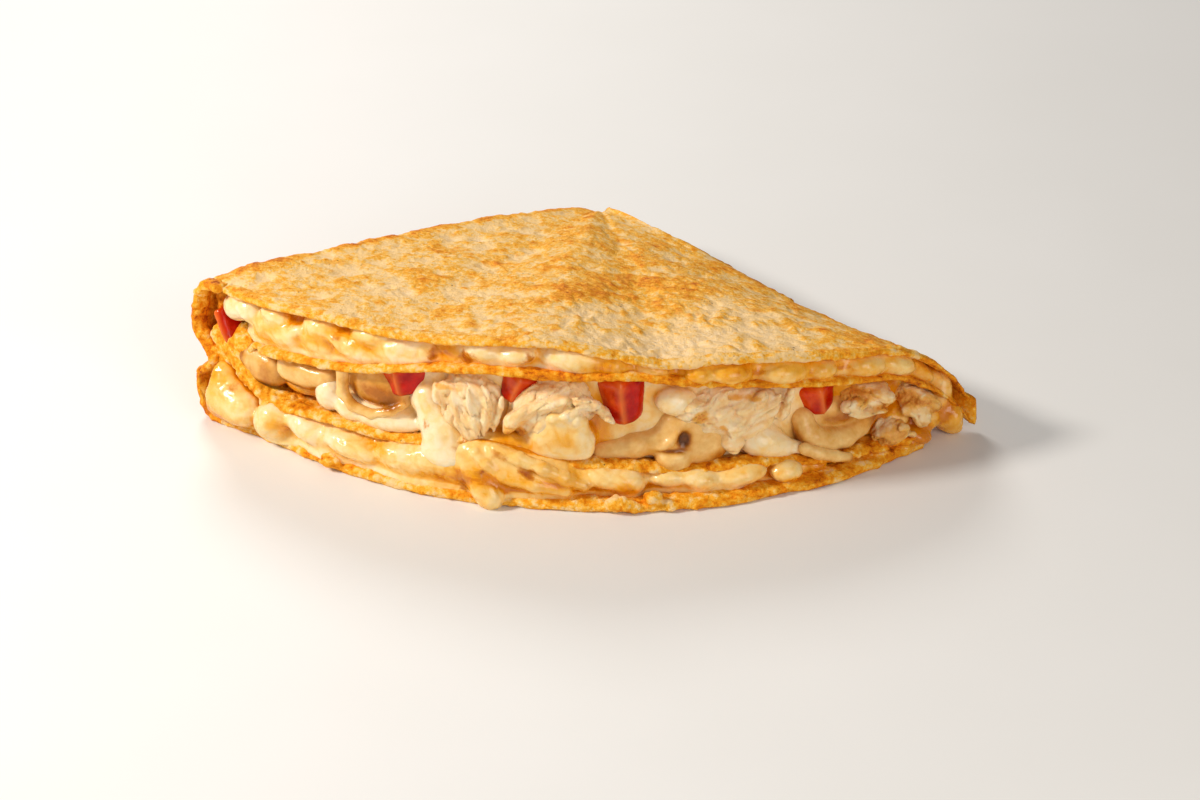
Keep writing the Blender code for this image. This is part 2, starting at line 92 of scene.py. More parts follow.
# The tortilla is one closed loop of eight stretches: how many points lie along each of them.
LOOP_STEPS = {"top": 300, "outer": 48, "bottom": 72, "lower": 8, "third": 130, "inner": 16,
              "second": 150, "upper": 8}
TOP, OUTER, BOTTOM, LOWER, THIRD, INNER, SECOND, UPPER = range(8)

# Clay is laid out along a front at this distance from the point, on grids of these steps.
FRONT = 148 * MM
CHEESE_STEP = 0.55 * MM
LIP_STEP = 0.55 * MM
PIECE_STEP = 0.4 * MM
TABLE = 0.02 * MM

# How far out the cheese's detailed front starts and ends, and the plain body behind it, in mm.
# The body ends at BODY_END degrees, short of the open side, and rounds off over BODY_ROUND.
CHEESE_BACK, CHEESE_FORWARD = 132 * MM, 158 * MM
BODY_FROM, BODY_TO = 45, 135
BODY_ROUND = 4
BODY_END = 41.5
# The upper cheese stays this far under the top of the wrap, and is let free near the rim.
LID_DEPTH = 1.6 * MM
LID_FREE = (146.5 * MM, 149 * MM)

# Cheese fronts: how far out each layer comes, as (degrees, millimetres).
UPPER_FRONT = ((-43, 140), (-40, 142.6), (-36.5, 143.6), (-32, 144.6), (-28, 144.6), (-23, 144.4),
               (-18.5, 145.2), (-16, 143.6), (-12, 144.4), (-8, 144.8), (-5.4, 143.8), (-1, 145),
               (4, 145.4), (7.4, 145), (10, 145.2), (14, 146), (18, 145.4), (22, 146.4),
               (26, 145.4), (31, 145.6), (36, 146), (39, 144.6), (45, 143))
MIDDLE_FRONT = ((-37, 138), (-31, 139), (-27, 141), (-20, 142.5), (-8, 142), (0, 142), (10, 142.5),
                (20, 142), (28, 141.5), (36, 141), (42, 141))
LOWER_FRONT = ((-42, 146), (-39, 145.5), (-36, 148), (-33, 146), (-29, 148), (-25, 147),
               (-20, 149.5), (-12, 150), (-2, 150), (1, 147.5), (4, 149.6), (8, 147),
               (13, 149.6), (17, 149), (19.5, 146.5), (22, 149.4), (25, 146), (28, 144))


# ---------------------------------------------------------------- numbers

def smooth_curve(points, x_unit=DEGREE, y_unit=MM):
    """A smooth function through the points, flat beyond both ends."""
    x, y = np.array(points, float).T
    slope = np.gradient(y, x)

    def read(value):
        v = np.clip(np.asarray(value, float) / x_unit, x[0], x[-1])
        i = np.clip(np.searchsorted(x, v) - 1, 0, len(x) - 2)
        step = x[i + 1] - x[i]
        t = (v - x[i]) / step
        start = (1 + 2 * t) * (1 - t) ** 2 * y[i] + t * (1 - t) ** 2 * step * slope[i]
        end = t * t * (3 - 2 * t) * y[i + 1] + t * t * (t - 1) * step * slope[i + 1]
        return (start + end) * y_unit

    return read


def ramp01(value, low, high):
    """0 below low, 1 above high, and smooth in between."""
    t = np.clip((value - low) / (high - low), 0, 1)
    return t * t * (3 - 2 * t)


def bell(value, width):
    """1 at nought, falling off smoothly to both sides."""
    return np.exp(-(value / width) ** 2)


def stack(*values):
    """Numbers and arrays side by side, as the columns of one array."""
    return np.stack(np.broadcast_arrays(*values), axis=-1)


def smooth_max(a, b, k):
    """The larger of two values, rounded over k where they are near each other."""
    h = np.clip(k - np.abs(a - b), 0, None) / k
    return np.maximum(a, b) + h * h * k / 4


class Noise:
    """Smooth gradient noise from -1 to 1, with its own seed."""

    def __init__(self, seed):
        rng = np.random.default_rng(seed)
        self.order = rng.permutation(256)
        slopes = rng.normal(size=(256, 3))
        self.slopes = slopes / np.linalg.norm(slopes, axis=1, keepdims=True)
        self.spots = rng.random((256, 3))

    def pick(self, x, y, z):
        """A number from 0 to 255 for each unit cell."""
        order = self.order
        return order[(order[(order[x & 255] + y) & 255] + z) & 255]

    def __call__(self, p):
        cell = np.floor(p).astype(int)
        f = p - cell
        u = f * f * f * (f * (f * 6 - 15) + 10)
        total = 0.0
        for corner in np.ndindex(2, 2, 2):
            slope = self.slopes[self.pick(*(cell[..., k] + corner[k] for k in range(3)))]
            x, y, z = (slope[..., k] * (f[..., k] - corner[k]) for k in range(3))
            wx, wy, wz = (u[..., k] if corner[k] else 1 - u[..., k] for k in range(3))
            total = total + wx * wy * wz * (x + y + z)
        return np.clip(total * 1.5, -1, 1)

    def layers(self, p, octaves=2, fade=0.5):
        """Several octaves of the noise, about -1 to 1."""
        total, size = 0.0, 1.0
        for k in range(octaves):
            total = total + size * self(p * 2.0 ** k + 17.3 * k)
            size *= fade
        return total / (1 + fade)

    def cells(self, p):
        """Distance to the nearest of scattered points, one in each unit cell, and its number."""
        cell = np.floor(p).astype(int)
        best = np.full(p.shape[:-1], 9.0)
        which = np.zeros(p.shape[:-1], int)
        for offset in np.ndindex(3, 3, 3):
            c = cell + np.array(offset) - 1
            number = self.pick(c[..., 0], c[..., 1], c[..., 2])
            away = np.linalg.norm(c + self.spots[number] - p, axis=-1)
            near = away < best
            best = np.where(near, away, best)
            which = np.where(near, number, which)
        return best, which


# ---------------------------------------------------------------- the wrap's surfaces

top_at_rim = smooth_curve(TOP_AT_RIM)
upper_pair_at_rim = smooth_curve(UPPER_PAIR_AT_RIM)
lower_pair_at_rim = smooth_curve(LOWER_PAIR_AT_RIM)
lip_droop_at_rim = smooth_curve(LIP_DROOP_AT_RIM)
bottom_rim = smooth_curve(BOTTOM_RIM)
second_sag = smooth_curve(SECOND_SAG)
top_hang = smooth_curve(TOP_HANG, MM, 1)
upper_pair_hang = smooth_curve(UPPER_PAIR_HANG, MM, 1)
upper_edge = smooth_curve(UPPER_EDGE, MM, DEGREE)
lower_edge = smooth_curve(LOWER_EDGE, MM, DEGREE)


def rise(rho, at_point, at_rim):
    """A height that grows from the point of the quarter to its rim."""
    return at_point + (at_rim - at_point) * (np.maximum(rho, 0) / TORTILLA_RADIUS) ** RISE_POWER


def hang(rho, theta, lowest):
    """What share of its height a sheet keeps as it hangs down towards the open side."""
    width = np.clip(0.9 * rho, 1e-6, HANG_WIDTH)
    room = rho * (upper_edge(rho) - theta)
    return lowest + (1 - lowest) * np.sin(math.pi / 2 * np.clip(room / width, 0, 1)) ** 0.8


def top_of_wrap(rho, theta):
    """The upper skin of the top sheet, with its lip."""
    lip = np.clip((rho / TORTILLA_RADIUS - LIP_START) / (1 - LIP_START), 0, 1)
    droop = lip_droop_at_rim(theta) * lip ** 2
    return rise(rho, TOP_AT_POINT, top_at_rim(theta)) * hang(rho, theta, top_hang(rho)) - droop


def under_upper_pair(rho, theta):
    """The lower skin of the second sheet, which sags near its rim."""
    height = rise(rho, UPPER_PAIR_AT_POINT, upper_pair_at_rim(theta))
    near_rim = np.clip((rho / TORTILLA_RADIUS - LIP_START) / (1 - LIP_START), 0, 1)
    sag = second_sag(theta) * near_rim
    return height * hang(rho, theta, upper_pair_hang(rho)) - sag


def over_lower_pair(rho, theta):
    """The upper skin of the third sheet."""
    return rise(rho, LOWER_PAIR_AT_POINT, lower_pair_at_rim(theta))


def place(rho, theta, z, bulge=0.0):
    """Points of the wrap in the frame, pushed sideways by a fold's bulge, with a round nose."""
    rho, theta, z, bulge = np.broadcast_arrays(rho, theta, z, bulge)
    along = np.clip(rho / NOSE_LENGTH, 0, 1)
    round_off = np.sqrt(1 - (1 - along) ** 2)
    side = np.sign(theta)
    x = rho * np.sin(theta) + side * bulge * np.cos(theta) * round_off
    y = -rho * np.cos(theta) + side * bulge * np.sin(theta) * round_off * along
    y = y + NOSE_DEPTH * (1 - along)
    z = NOSE_HEIGHT + (z - NOSE_HEIGHT) * round_off
    return stack(POINT.x + x, POINT.y + y, z)


def fold(z_from, z_to, bulge, steps):
    """Heights and bulges around a folded edge, from one sheet to another."""
    turn = np.linspace(0, math.pi, steps + 2)[1:-1]
    level = np.sign(np.cos(turn)) * np.abs(np.cos(turn)) ** 0.8
    return (z_from + z_to) / 2 + (z_from - z_to) / 2 * level, bulge * np.sin(turn) ** 0.55


# ---------------------------------------------------------------- meshes

def new_object(name, points, faces, nodes, material, masks):
    """A smooth piece of the wrap that rides on its only body."""
    mesh = bpy.data.meshes.new(name)
    mesh.from_pydata(points.tolist(), [], faces if isinstance(faces, list) else faces.tolist())
    mesh.validate()
    for label, values in masks.items():
        layer = mesh.attributes.new(label, "FLOAT", "POINT")
        layer.data.foreach_set("value", np.clip(values, 0, 1).astype(np.float32))
    mesh.shade_smooth()
    mesh.materials.append(material)
    obj = bpy.data.objects.new(name, mesh)
    bpy.context.scene.collection.objects.link(obj)
    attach(obj, "root")
    if nodes:
        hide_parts(*nodes)


def vertex_normals(points, quads):
    """Unit normals of a mesh of quads."""
    a, b, c, d = (points[quads[:, k]] for k in range(4))
    face = np.cross(c - a, d - b)
    total = np.zeros_like(points)
    for k in range(4):
        np.add.at(total, quads[:, k], face)
    return total / np.maximum(np.linalg.norm(total, axis=1, keepdims=True), 1e-12)


def stand_out(points, quads, height):
    """Moves points along their normals by a height in mm, and none below the table."""
    points = points + vertex_normals(points, quads) * (height * MM)[:, None]
    points[:, 2] = np.maximum(points[:, 2], TABLE)
    return points


# ---------------------------------------------------------------- the tortilla

class Sheet:
    """All points of one ring of the tortilla, and what each of them is."""

    names = tuple(LOOP_STEPS)

    def __init__(self, share, inset):
        self.rows, self.theta, self.kind, self.rho = [], [], [], []
        middle = share * TORTILLA_RADIUS
        top_end, low_end = float(upper_edge(middle)), float(lower_edge(middle))

        def add(name, theta, z_at, bulge=0.0):
            row = len(self.rows)
            radius = bottom_rim(theta) if name == "bottom" else RIM_RADII[name] * MM
            ragged = np.array([RAGGED_RIM * noise.noise(Vector((t * 16, row, 0.5)))
                               for t in theta])
            ragged = ragged + share ** 8 * ragged_rim(theta, row)
            rho = share * (radius + ragged)
            self.rows.append(place(rho, theta, z_at(rho, theta), bulge))
            self.theta.append(theta)
            self.rho.append(rho)
            self.kind.append(np.full(len(theta), row))

        def add_fold(name, theta, z_from, z_to, bulge):
            z, push = fold(z_from, z_to, bulge, LOOP_STEPS[name])
            if name == "outer":
                pinch = PINCH_DEPTH * bell(z - PINCH_HEIGHT, PINCH_REACH) * share
                push = push - pinch
            add(name, np.full(len(z), theta), lambda rho, t: z, push)

        def top_z(rho, t):
            return top_of_wrap(rho, t) - inset

        def second_z(rho, t):
            return under_upper_pair(rho, t) + inset

        def third_z(rho, t):
            return over_lower_pair(rho, t) - inset

        def span(start, end, name):
            return np.linspace(start, end, LOOP_STEPS[name])

        mouth = under_upper_pair(middle, INNER_FOLD) - over_lower_pair(middle, INNER_FOLD)
        inner_bulge = INNER_BULGE_SHARE * mouth + inset
        add("top", span(top_end, OUTER_FOLD, "top"), top_z)
        outer_bulge = OUTER_BULGE * (0.75 + 0.3 * share ** 2) - inset
        add_fold("outer", OUTER_FOLD, top_z(middle, OUTER_FOLD), inset, outer_bulge)
        add("bottom", span(OUTER_FOLD, low_end, "bottom"), lambda rho, t: inset + 0 * t)
        add_fold("lower", low_end, inset, third_z(middle, low_end), EDGE_BULGE - inset)
        add("third", span(low_end, INNER_FOLD, "third"), third_z)
        add_fold("inner", INNER_FOLD, third_z(middle, INNER_FOLD), second_z(middle, INNER_FOLD),
                 inner_bulge)
        add("second", span(INNER_FOLD, top_end, "second"), second_z)
        add_fold("upper", top_end, second_z(middle, top_end), top_z(middle, top_end),
                 EDGE_BULGE - inset)
        self.points = np.concatenate(self.rows)
        self.theta = np.concatenate(self.theta)
        self.rho = np.concatenate(self.rho)
        self.kind = np.concatenate(self.kind)


rim_noise = Noise(5)


def ragged_rim(theta, row):
    """Finer raggedness of the cut rim, in metres."""
    p = stack(theta * TORTILLA_RADIUS / MM, row * 9.7, 0)
    coarse = rim_noise(p / 5.0) * 0.7
    fine = rim_noise(p / 1.7 + 40) * 0.4
    return (coarse + fine) * MM


def make_tortilla(material):
    """The whole sheet: rings of the loop from the point out to the rim and a little way back in
    along the inner skin, with fewer points on the rings near the point."""
    outer_shares = np.concatenate([[0.0001, 0.0005, 0.0014, 0.003, 0.0055, 0.009],
                                   np.linspace(0.014, 0.24, 30), np.linspace(0.25, 0.495, 37),
                                   np.linspace(0.5, 0.97, 81), [0.976, 0.982, 0.988, 0.994, 1]])
    inner_shares = [1, 0.99, 0.98, 0.97, 0.955, 0.94, 0.92, 0.9, 0.87, 0.84, 0.8]
    count = sum(LOOP_STEPS.values())
    rings, info, strides = [], [], []
    outer = [Sheet(share, 0.0) for share in outer_shares]
    inner = [Sheet(share, SHEET) for share in inner_shares]
    outer[0].points[:, 1] = outer[0].points[:, 1].mean()
    for share, ring in zip(outer_shares, outer):
        strides.append(4 if share < 0.245 else 2 if share < 0.4975 else 1)
        rings.append(ring.points)
        info.append(stack(ring.theta, ring.rho, ring.kind, 0))
    # The rim's rounded edge comes a little further out than both skins.
    for mix, push in ((0.2, 0.35), (0.5, 0.5), (0.8, 0.35)):
        lip = outer[-1].points * (1 - mix) + inner[0].points * mix
        out = lip - np.array(POINT)
        out[:, 2] = 0
        rings.append(lip + push * MM * out / np.linalg.norm(out, axis=1, keepdims=True))
        strides.append(1)
        info.append(stack(outer[-1].theta, outer[-1].rho, outer[-1].kind, 0.5))
    for ring in inner:
        rings.append(ring.points)
        strides.append(1)
        info.append(stack(ring.theta, ring.rho, ring.kind, 1))
    points, data, starts = [], [], []
    total = 0
    for ring, row, stride in zip(rings, info, strides):
        points.append(ring[::stride])
        data.append(row[::stride])
        starts.append(total)
        total += len(points[-1])
    points, data = np.concatenate(points), np.concatenate(data)
    quads, triangles = [], []
    for k in range(len(rings) - 1):
        near, far, n = starts[k], starts[k + 1], count // strides[k]
        i = np.arange(n)
        j = (i + 1) % n
        if strides[k] == strides[k + 1]:
            quads.append(stack(near + j, near + i, far + i, far + j))
        else:
            m = 2 * n
            a, b, c = far + 2 * i, far + 2 * i + 1, far + (2 * i + 2) % m
            triangles += [stack(near + i, a, b), stack(near + j, near + i, b),
                          stack(near + j, b, c)]
    quads = np.concatenate(quads)
    triangles = np.concatenate(triangles)
    joined = np.concatenate([quads, np.column_stack([triangles, triangles[:, 2]])])
    height, masks = tortilla_relief(points, data)
    points = stand_out(points, joined, height)
    first = list(range(count // 4))
    last = list(range(starts[-1] + count - 1, starts[-1] - 1, -1))
    faces = quads.tolist() + triangles.tolist() + [first, last]
    new_object("tortilla_sheet", points, faces, ["tortilla"], material, masks)


broad, middling, small, grains = Noise(11), Noise(12), Noise(13), Noise(14)


def tortilla_relief(points, data):
    """How far the baked surface stands out, in mm, and the masks that colour it."""
    theta, rho, kind, skin = data.T
    p = points / MM
    degrees = theta / DEGREE
    share = rho / TORTILLA_RADIUS
    outer_skin = skin < 0.4
    # Stretched outwards from the point, so that the ridges run in from the rim.
    wander = 3 * broad(p / 12 + 5)
    radial = stack(rho / MM * 0.55, theta * 118 + wander, kind * 30)
    front_right = bell(degrees - 13, 22) * ramp01(share, 0.55, 0.85)
    swell = broad.layers(p / 13)
    ridges = 1 - 2.4 * np.abs(middling.layers(radial / 5.2))
    crags = 1 - 2 * np.abs(small.layers(p / 4.6))
    fine = grains.layers(p / 1.9)
    away, number = broad.cells(p / 8.5)
    chosen = (number % 5 < 2) * 1.0
    blister = chosen * np.clip(1 - (away / 0.42) ** 2, 0, 1)
    away_small, number_small = middling.cells(p / 3.4)
    pimple = (number_small % 3 == 0) * np.clip(1 - (away_small / 0.4) ** 2, 0, 1)
    height = (0.55 * swell + (0.25 + 0.5 * front_right) * ridges * np.clip(share * 1.3, 0, 1)
              + (0.45 + 0.2 * front_right) * crags * (0.4 + 0.6 * ramp01(swell, -0.3, 0.5))
              + 0.3 * fine + 0.7 * blister + 0.4 * pimple)
    calm = np.where((kind == BOTTOM) & outer_skin, 0.35, 1.0)
    calm = calm * (0.35 + 0.65 * ramp01(share, 0.0, 0.12))
    height = np.clip(height, -1.2, 1.7) * calm
    # The skins inside, near the rim: crumbly.
    crumbs = 0.5 * crags + 0.45 * fine + 0.5 * pimple
    inside = np.where(kind == BOTTOM, 0.7, 0.45) * np.clip(crumbs, -0.5, 1.2)
    height = np.where(outer_skin, height, inside * ramp01(share, 0.86, 0.94))
    # The crag mask is the relief's height; the material turns it into painted shade in the hollows
    # and a painted highlight on the tops.
    crag = 0.5 + 0.5 * np.clip(height / 1.2, -1, 1)
    return height, {"toast": toasting(p, degrees, share, kind, skin), "crag": crag}


def toasting(p, degrees, share, kind, skin=0.0):
    """How far each place is baked, 0 pale to 1 brown: an orange patch right of the middle of the
    top, paler to the left and near the front, deep towards the open side. The bottom sheet's inner
    skin is made paler: painted light against the shade that the lower cheese casts on it."""
    x, y = p[:, 0], p[:, 1]
    patch = np.exp(-(((x - 11) / 30) ** 2) - (((y + 15) / 20) ** 2))
    right = ramp01(degrees, 18, 46)
    left = ramp01(-degrees, 8, 40)
    pale_front = bell(degrees - 14, 17) * ramp01(share, 0.66, 0.93)
    toast = 0.38 + 0.26 * patch - 0.1 * left + 0.34 * right * ramp01(share, 0.5, 1) \
        - 0.22 * pale_front
    toast = toast + 0.26 * broad.layers(p / 17 + 9) + 0.26 * middling.layers(p / 6 + 4)
    toast = np.where(kind == OUTER, 0.62 + 0.3 * middling.layers(p / 5), toast)
    side = 0.4 + 0.3 * ramp01(degrees, -10, 40) + 0.36 * middling.layers(p / 5 + 2)
    # Painted light: the bottom sheet's inner skin is paler, to lift the shade that the lower
    # cheese casts on it.
    side = side - 0.1 * ((kind == BOTTOM) & (skin > 0.3))
    toast = np.where((kind >= BOTTOM) & (kind <= INNER), side, toast)
    second = 0.36 + 0.3 * ramp01(degrees, -28, 0) + 0.25 * middling.layers(p / 5 + 2)
    return np.where(kind >= SECOND, second, toast)


# ---------------------------------------------------------------- clay: solids from distances

def to_front(theta, rho, z):
    """Degrees and millimetres to clay coordinates: along the front, out and up, in metres."""
    return np.array([theta * DEGREE * FRONT, rho * MM - FRONT, z * MM])


def to_world(p):
    """Clay coordinates to the frame."""
    theta, rho = p[:, 0] / FRONT, FRONT + p[:, 1]
    return stack(POINT.x + rho * np.sin(theta), POINT.y - rho * np.cos(theta), p[:, 2])


def turned(tilt, lean=0.0, swing=0.0):
    """Rows that turn clay coordinates into a piece's own: X along, Y out, Z up. tilt lowers the
    right end, lean tips the top back, and swing turns it as seen from above."""
    turn = (Matrix.Rotation(swing * DEGREE, 3, "Z") @ Matrix.Rotation(tilt * DEGREE, 3, "Y")
            @ Matrix.Rotation(-lean * DEGREE, 3, "X"))
    flip = Matrix(((1, 0, 0), (0, -1, 0), (0, 0, 1)))
    return np.array(flip @ turn.transposed() @ flip)


class Clay:
    """A block of space along the front, holding the distance to a solid's surface. Negative is
    inside."""

    def __init__(self, low, high, step):
        self.step = step
        self.low = np.array(low, float)
        counts = np.ceil((np.array(high, float) - self.low) / step).astype(int) + 1
        self.axes = [self.low[k] + step * np.arange(counts[k]) for k in range(3)]
        self.f = np.full(tuple(counts), 9 * MM, np.float32)

    @staticmethod
    def around(theta, rho, z, width, depth, height, step, room=2.5):
        """A block with room for one piece."""
        centre = to_front(theta, rho, z)
        half = np.array([width, depth, height]) * 0.5 * MM * 1.15 + room * MM
        return Clay(centre - half, centre + half, step)

    def window(self, centre, reach):
        """The stretch of the grid around a place."""
        cut = []
        for k in range(3):
            a = np.searchsorted(self.axes[k], centre[k] - reach[k])
            b = np.searchsorted(self.axes[k], centre[k] + reach[k])
            cut.append(slice(max(a - 1, 0), max(b + 1, 1)))
        return tuple(cut)

    def grid(self, cut=(slice(None),) * 3):
        """The places of the grid's points."""
        s, d, z = (self.axes[k][cut[k]] for k in range(3))
        return np.stack(np.meshgrid(s, d, z, indexing="ij"), axis=-1)

    def add(self, value, cut=(slice(None),) * 3, soft=1.5, carve=False):
        """Joins a shape on softly, or cuts it out."""
        old, k = self.f[cut], soft * MM
        self.f[cut] = smooth_max(old, -value, k) if carve else -smooth_max(-old, -value, k)

    def blob(self, theta, rho, z, width, depth, height, tilt=0.0, soft=1.5, lean=0.0, swing=0.0,
             carve=False, power=2.0):
        """An ellipsoid, squarer with more power, joined on softly or carved out."""
        centre = to_front(theta, rho, z)
        r = np.array([width, depth, height]) * 0.5 * MM
        reach = np.full(3, max(r) + (soft + 1) * MM)
        cut = self.window(centre, reach)
        q = (self.grid(cut) - centre) @ turned(tilt, lean, swing).T
        k0 = np.linalg.norm(q / r, axis=-1)
        k1 = np.linalg.norm(q / (r * r), axis=-1) + 1e-9
        value = k0 * (k0 - 1) / k1
        if power != 2:
            value = (np.sum(np.abs(q / r) ** power, axis=-1) ** (1 / power) - 1) * r.min()
        self.add(value, cut, soft, carve)

    def string(self, points, radius, soft=1.0, end_radius=None, carve=False):
        """A strand through places (degrees, out, up), of one radius or tapering, in mm."""
        spots = np.array([to_front(*p) for p in points])
        radii = np.linspace(radius, end_radius or radius, len(spots)) * MM
        for a, b, ra, rb in zip(spots, spots[1:], radii, radii[1:]):
            centre, reach = (a + b) / 2, np.abs(b - a) / 2 + max(ra, rb) + (soft + 1) * MM
            cut = self.window(centre, reach)
            q = self.grid(cut) - a
            t = np.clip(q @ (b - a) / max(float((b - a) @ (b - a)), 1e-12), 0, 1)
            value = np.linalg.norm(q - t[..., None] * (b - a), axis=-1) - (ra + (rb - ra) * t)
            self.add(value, cut, soft, carve)

    def mesh(self):
        """Points and quads where the distance changes sign, by surface nets, with no scraps."""
        f = self.f.copy()
        for k in range(3):
            edge = [slice(None)] * 3
            for end in (0, -1):
                edge[k] = end
                f[tuple(edge)] = np.maximum(f[tuple(edge)], 0.3 * self.step)
        inside = f < 0
        nx, ny, nz = np.array(f.shape) - 1
        corners = sum(inside[i:i + nx, j:j + ny, k:k + nz].astype(np.int8)
                      for i, j, k in np.ndindex(2, 2, 2))
        mixed = (corners > 0) & (corners < 8)
        cells = np.argwhere(mixed)
        index = np.full(mixed.shape, -1, np.int64)
        index[mixed] = np.arange(len(cells))
        total, hits = np.zeros((len(cells), 3)), np.zeros(len(cells))
        for a in np.ndindex(2, 2, 2):
            for axis in range(3):
                if a[axis]:
                    continue
                b = tuple(c + (n == axis) for n, c in enumerate(a))
                fa = f[cells[:, 0] + a[0], cells[:, 1] + a[1], cells[:, 2] + a[2]]
                fb = f[cells[:, 0] + b[0], cells[:, 1] + b[1], cells[:, 2] + b[2]]
                cross = (fa < 0) != (fb < 0)
                t = fa[cross] / (fa[cross] - fb[cross])
                spot = np.tile(np.array(a, float), (int(cross.sum()), 1))
                spot[:, axis] = t
                total[cross] += spot
                hits[cross] += 1
        points = self.low + (cells + total / hits[:, None]) * self.step
        quads = []
        for axis in range(3):
            a = [slice(1, -1)] * 3
            b = [slice(1, -1)] * 3
            a[axis], b[axis] = slice(0, -1), slice(1, None)
            start, end = inside[tuple(a)], inside[tuple(b)]
            u, v = [k for k in range(3) if k != axis]
            for first in (True, False):
                at = np.argwhere((start != end) & (start == first))
                at[:, u] += 1
                at[:, v] += 1
                near = []
                for du, dv in ((-1, -1), (0, -1), (0, 0), (-1, 0)):
                    c = at.copy()
                    c[:, u] += du
                    c[:, v] += dv
                    near.append(index[c[:, 0], c[:, 1], c[:, 2]])
                quad = np.stack(near, axis=-1)
                quads.append(quad if first == (axis != 1) else quad[:, ::-1])
        return keep_big(points, np.concatenate(quads))


def spots_mask(p, spots):
    """A mask of soft round spots: (degrees, height, width, tallness, strength), in mm."""
    total = np.zeros(len(p))
    for theta, z, wide, tall, strength in spots:
        s = (p[:, 0] / MM - theta * DEGREE * FRONT / MM) / (wide / 2)
        h = (p[:, 2] / MM - z) / (tall / 2)
        total = total + strength * np.exp(-(s * s + h * h))
    return total


def keep_big(points, quads):
    """Leaves out loose scraps: only the largest connected body stays."""
    label = np.arange(len(points))
    edges = np.concatenate([quads[:, [0, 1]], quads[:, [1, 2]], quads[:, [2, 3]]])
    while True:
        low = np.minimum(label[edges[:, 0]], label[edges[:, 1]])
        new = label.copy()
        np.minimum.at(new, edges[:, 0], low)
        np.minimum.at(new, edges[:, 1], low)
        new = new[new]
        if np.array_equal(new, label):
            break
        label = new
    names, counts = np.unique(label, return_counts=True)
    keep = label == names[counts.argmax()]
    number = np.cumsum(keep) - 1
    return points[keep], number[quads[keep[quads[:, 0]]]]


# ---------------------------------------------------------------- cheese

cheese_noise, cheese_fine = Noise(31), Noise(32)

# Lobes and lumps on the front of each layer: degrees, out, up, width, depth, height and tilt,
# then how softly they join on where it isn't CHEESE_SOFT, in mm.
CHEESE_SOFT = 2.0
UPPER_BLOBS = (
    (-43.2, 142.4, 36.4, 9, 9, 8.6, 10, 1.2),
    (-41, 140.5, 37.6, 13, 13, 9.4, 14),
    (-37.6, 142, 34.6, 14, 10, 9.6, -20),
    (-34.6, 143.4, 35, 15, 9, 8, -10),
    (-30.4, 142.8, 37, 13, 9.6, 9, 16),
    (-25.8, 143.4, 37.4, 14, 9, 7.6, 4),
    (-21, 142.8, 38.8, 15, 9, 7.4, -4),
    (-30.6, 145.4, 35.2, 9, 3.6, 4.4, 14),
    (-24.6, 145.2, 37, 10, 3.6, 4, 4),
    (-36.6, 143, 39.4, 12, 8, 6.4, 10, 1.2),
    (-30, 143.4, 40.6, 13, 8, 6.4, 6, 1.2),
    (-23.8, 143.2, 42, 13, 8, 6, 2, 1.2),
    (-33.4, 145.8, 37.4, 8, 4, 3.6, -30, 1.0),
    (-27.4, 145.6, 38.6, 9, 4, 3.4, 20, 1.0),
    (-20.6, 144.6, 40.6, 8, 4, 3.4, -20, 1.0),
    (-17.6, 141.4, 40.6, 9, 7, 6, -6),
    (-14.2, 141.4, 41, 10, 6, 5.4, 6),
    (-10.8, 143.4, 43, 12, 8, 6, 4),
    (-7, 143.6, 42.8, 11, 8, 5.4, -6),
    (-0.6, 143.6, 42, 19, 9, 7.6, 6),
    (3.4, 143.8, 40.6, 9, 8, 6, 12),
    (8, 143.6, 38.6, 10, 7, 5, 8),
    (12.6, 145, 37, 9, 8, 5.4, 0),
    (16.2, 145.6, 36.4, 12, 8, 6, 4),
    (22.2, 145.6, 34.5, 14, 8, 6.4, 4),
    (26.8, 145, 32.8, 8.5, 7.6, 5.6, 8),
    (32.4, 145.4, 30.8, 12, 8, 6.4, 10),
    (36.6, 145.2, 28, 13, 8, 6, 24),
    (40.8, 143.2, 21.2, 10, 7, 4.4, 44),
    (43.6, 142.8, 15.6, 8, 6, 4.4, 60),
)
MIDDLE_BLOBS = (
    (-29.3, 142, 20.8, 10, 12, 11.5, 8),
    (-22.4, 143, 17.6, 25, 11, 7.8, 3),
    (-26.6, 143.6, 18.4, 10, 9, 8, 20),
    (-17.2, 141, 25.2, 12, 12, 11, -20),
    (-16.4, 144.6, 19.6, 9, 8, 10, -8),
    (-15.2, 146.6, 15.8, 11, 9, 12, 10),
    (-14.6, 149.2, 12, 14, 8, 8, 6),
    (-12, 145.6, 15.2, 9, 7, 6, 0),
    (-2.6, 142.6, 18.4, 21, 12, 12, 0),
    (-2.8, 148.4, 26, 3.8, 3.4, 3, 0, 0.7),
    (-1.6, 148.8, 26.8, 3, 2.8, 2.8, 0, 0.7),
    (-0.5, 148.4, 25.8, 3, 3.2, 3.8, 20, 0.7),
    (10.3, 143.6, 28.4, 12.5, 9, 8.4, 8, 1.0),
    (20.2, 142.6, 12.6, 14, 10, 10, 10, 1.4),
    (21.6, 145, 11.4, 12, 6, 7, 16, 1.4),
    (24.2, 145, 9.8, 8, 5, 3.4, 22, 1.4),
    (-34.5, 138, 18.6, 16, 11, 7, 6),
    (39.6, 145.4, 3.4, 9, 9, 5, 20, 1.2),
    (37.6, 146, 1.8, 7, 7, 3.4, 10, 1.2),
    (-8, 144, 15.6, 18, 9, 6, 6),
    (37.4, 139, 9.4, 12, 14, 10, 0),
    (41.4, 140, 6.8, 13, 16, 10, 10),
    (42.4, 130, 6.4, 12, 18, 7.4, 10),
    (43.6, 142, 11.6, 8, 11, 16, 12),
    (44.2, 142.8, 6, 8, 16, 10, 10),
    (44.9, 146, 3, 7, 8, 7, 0),
)
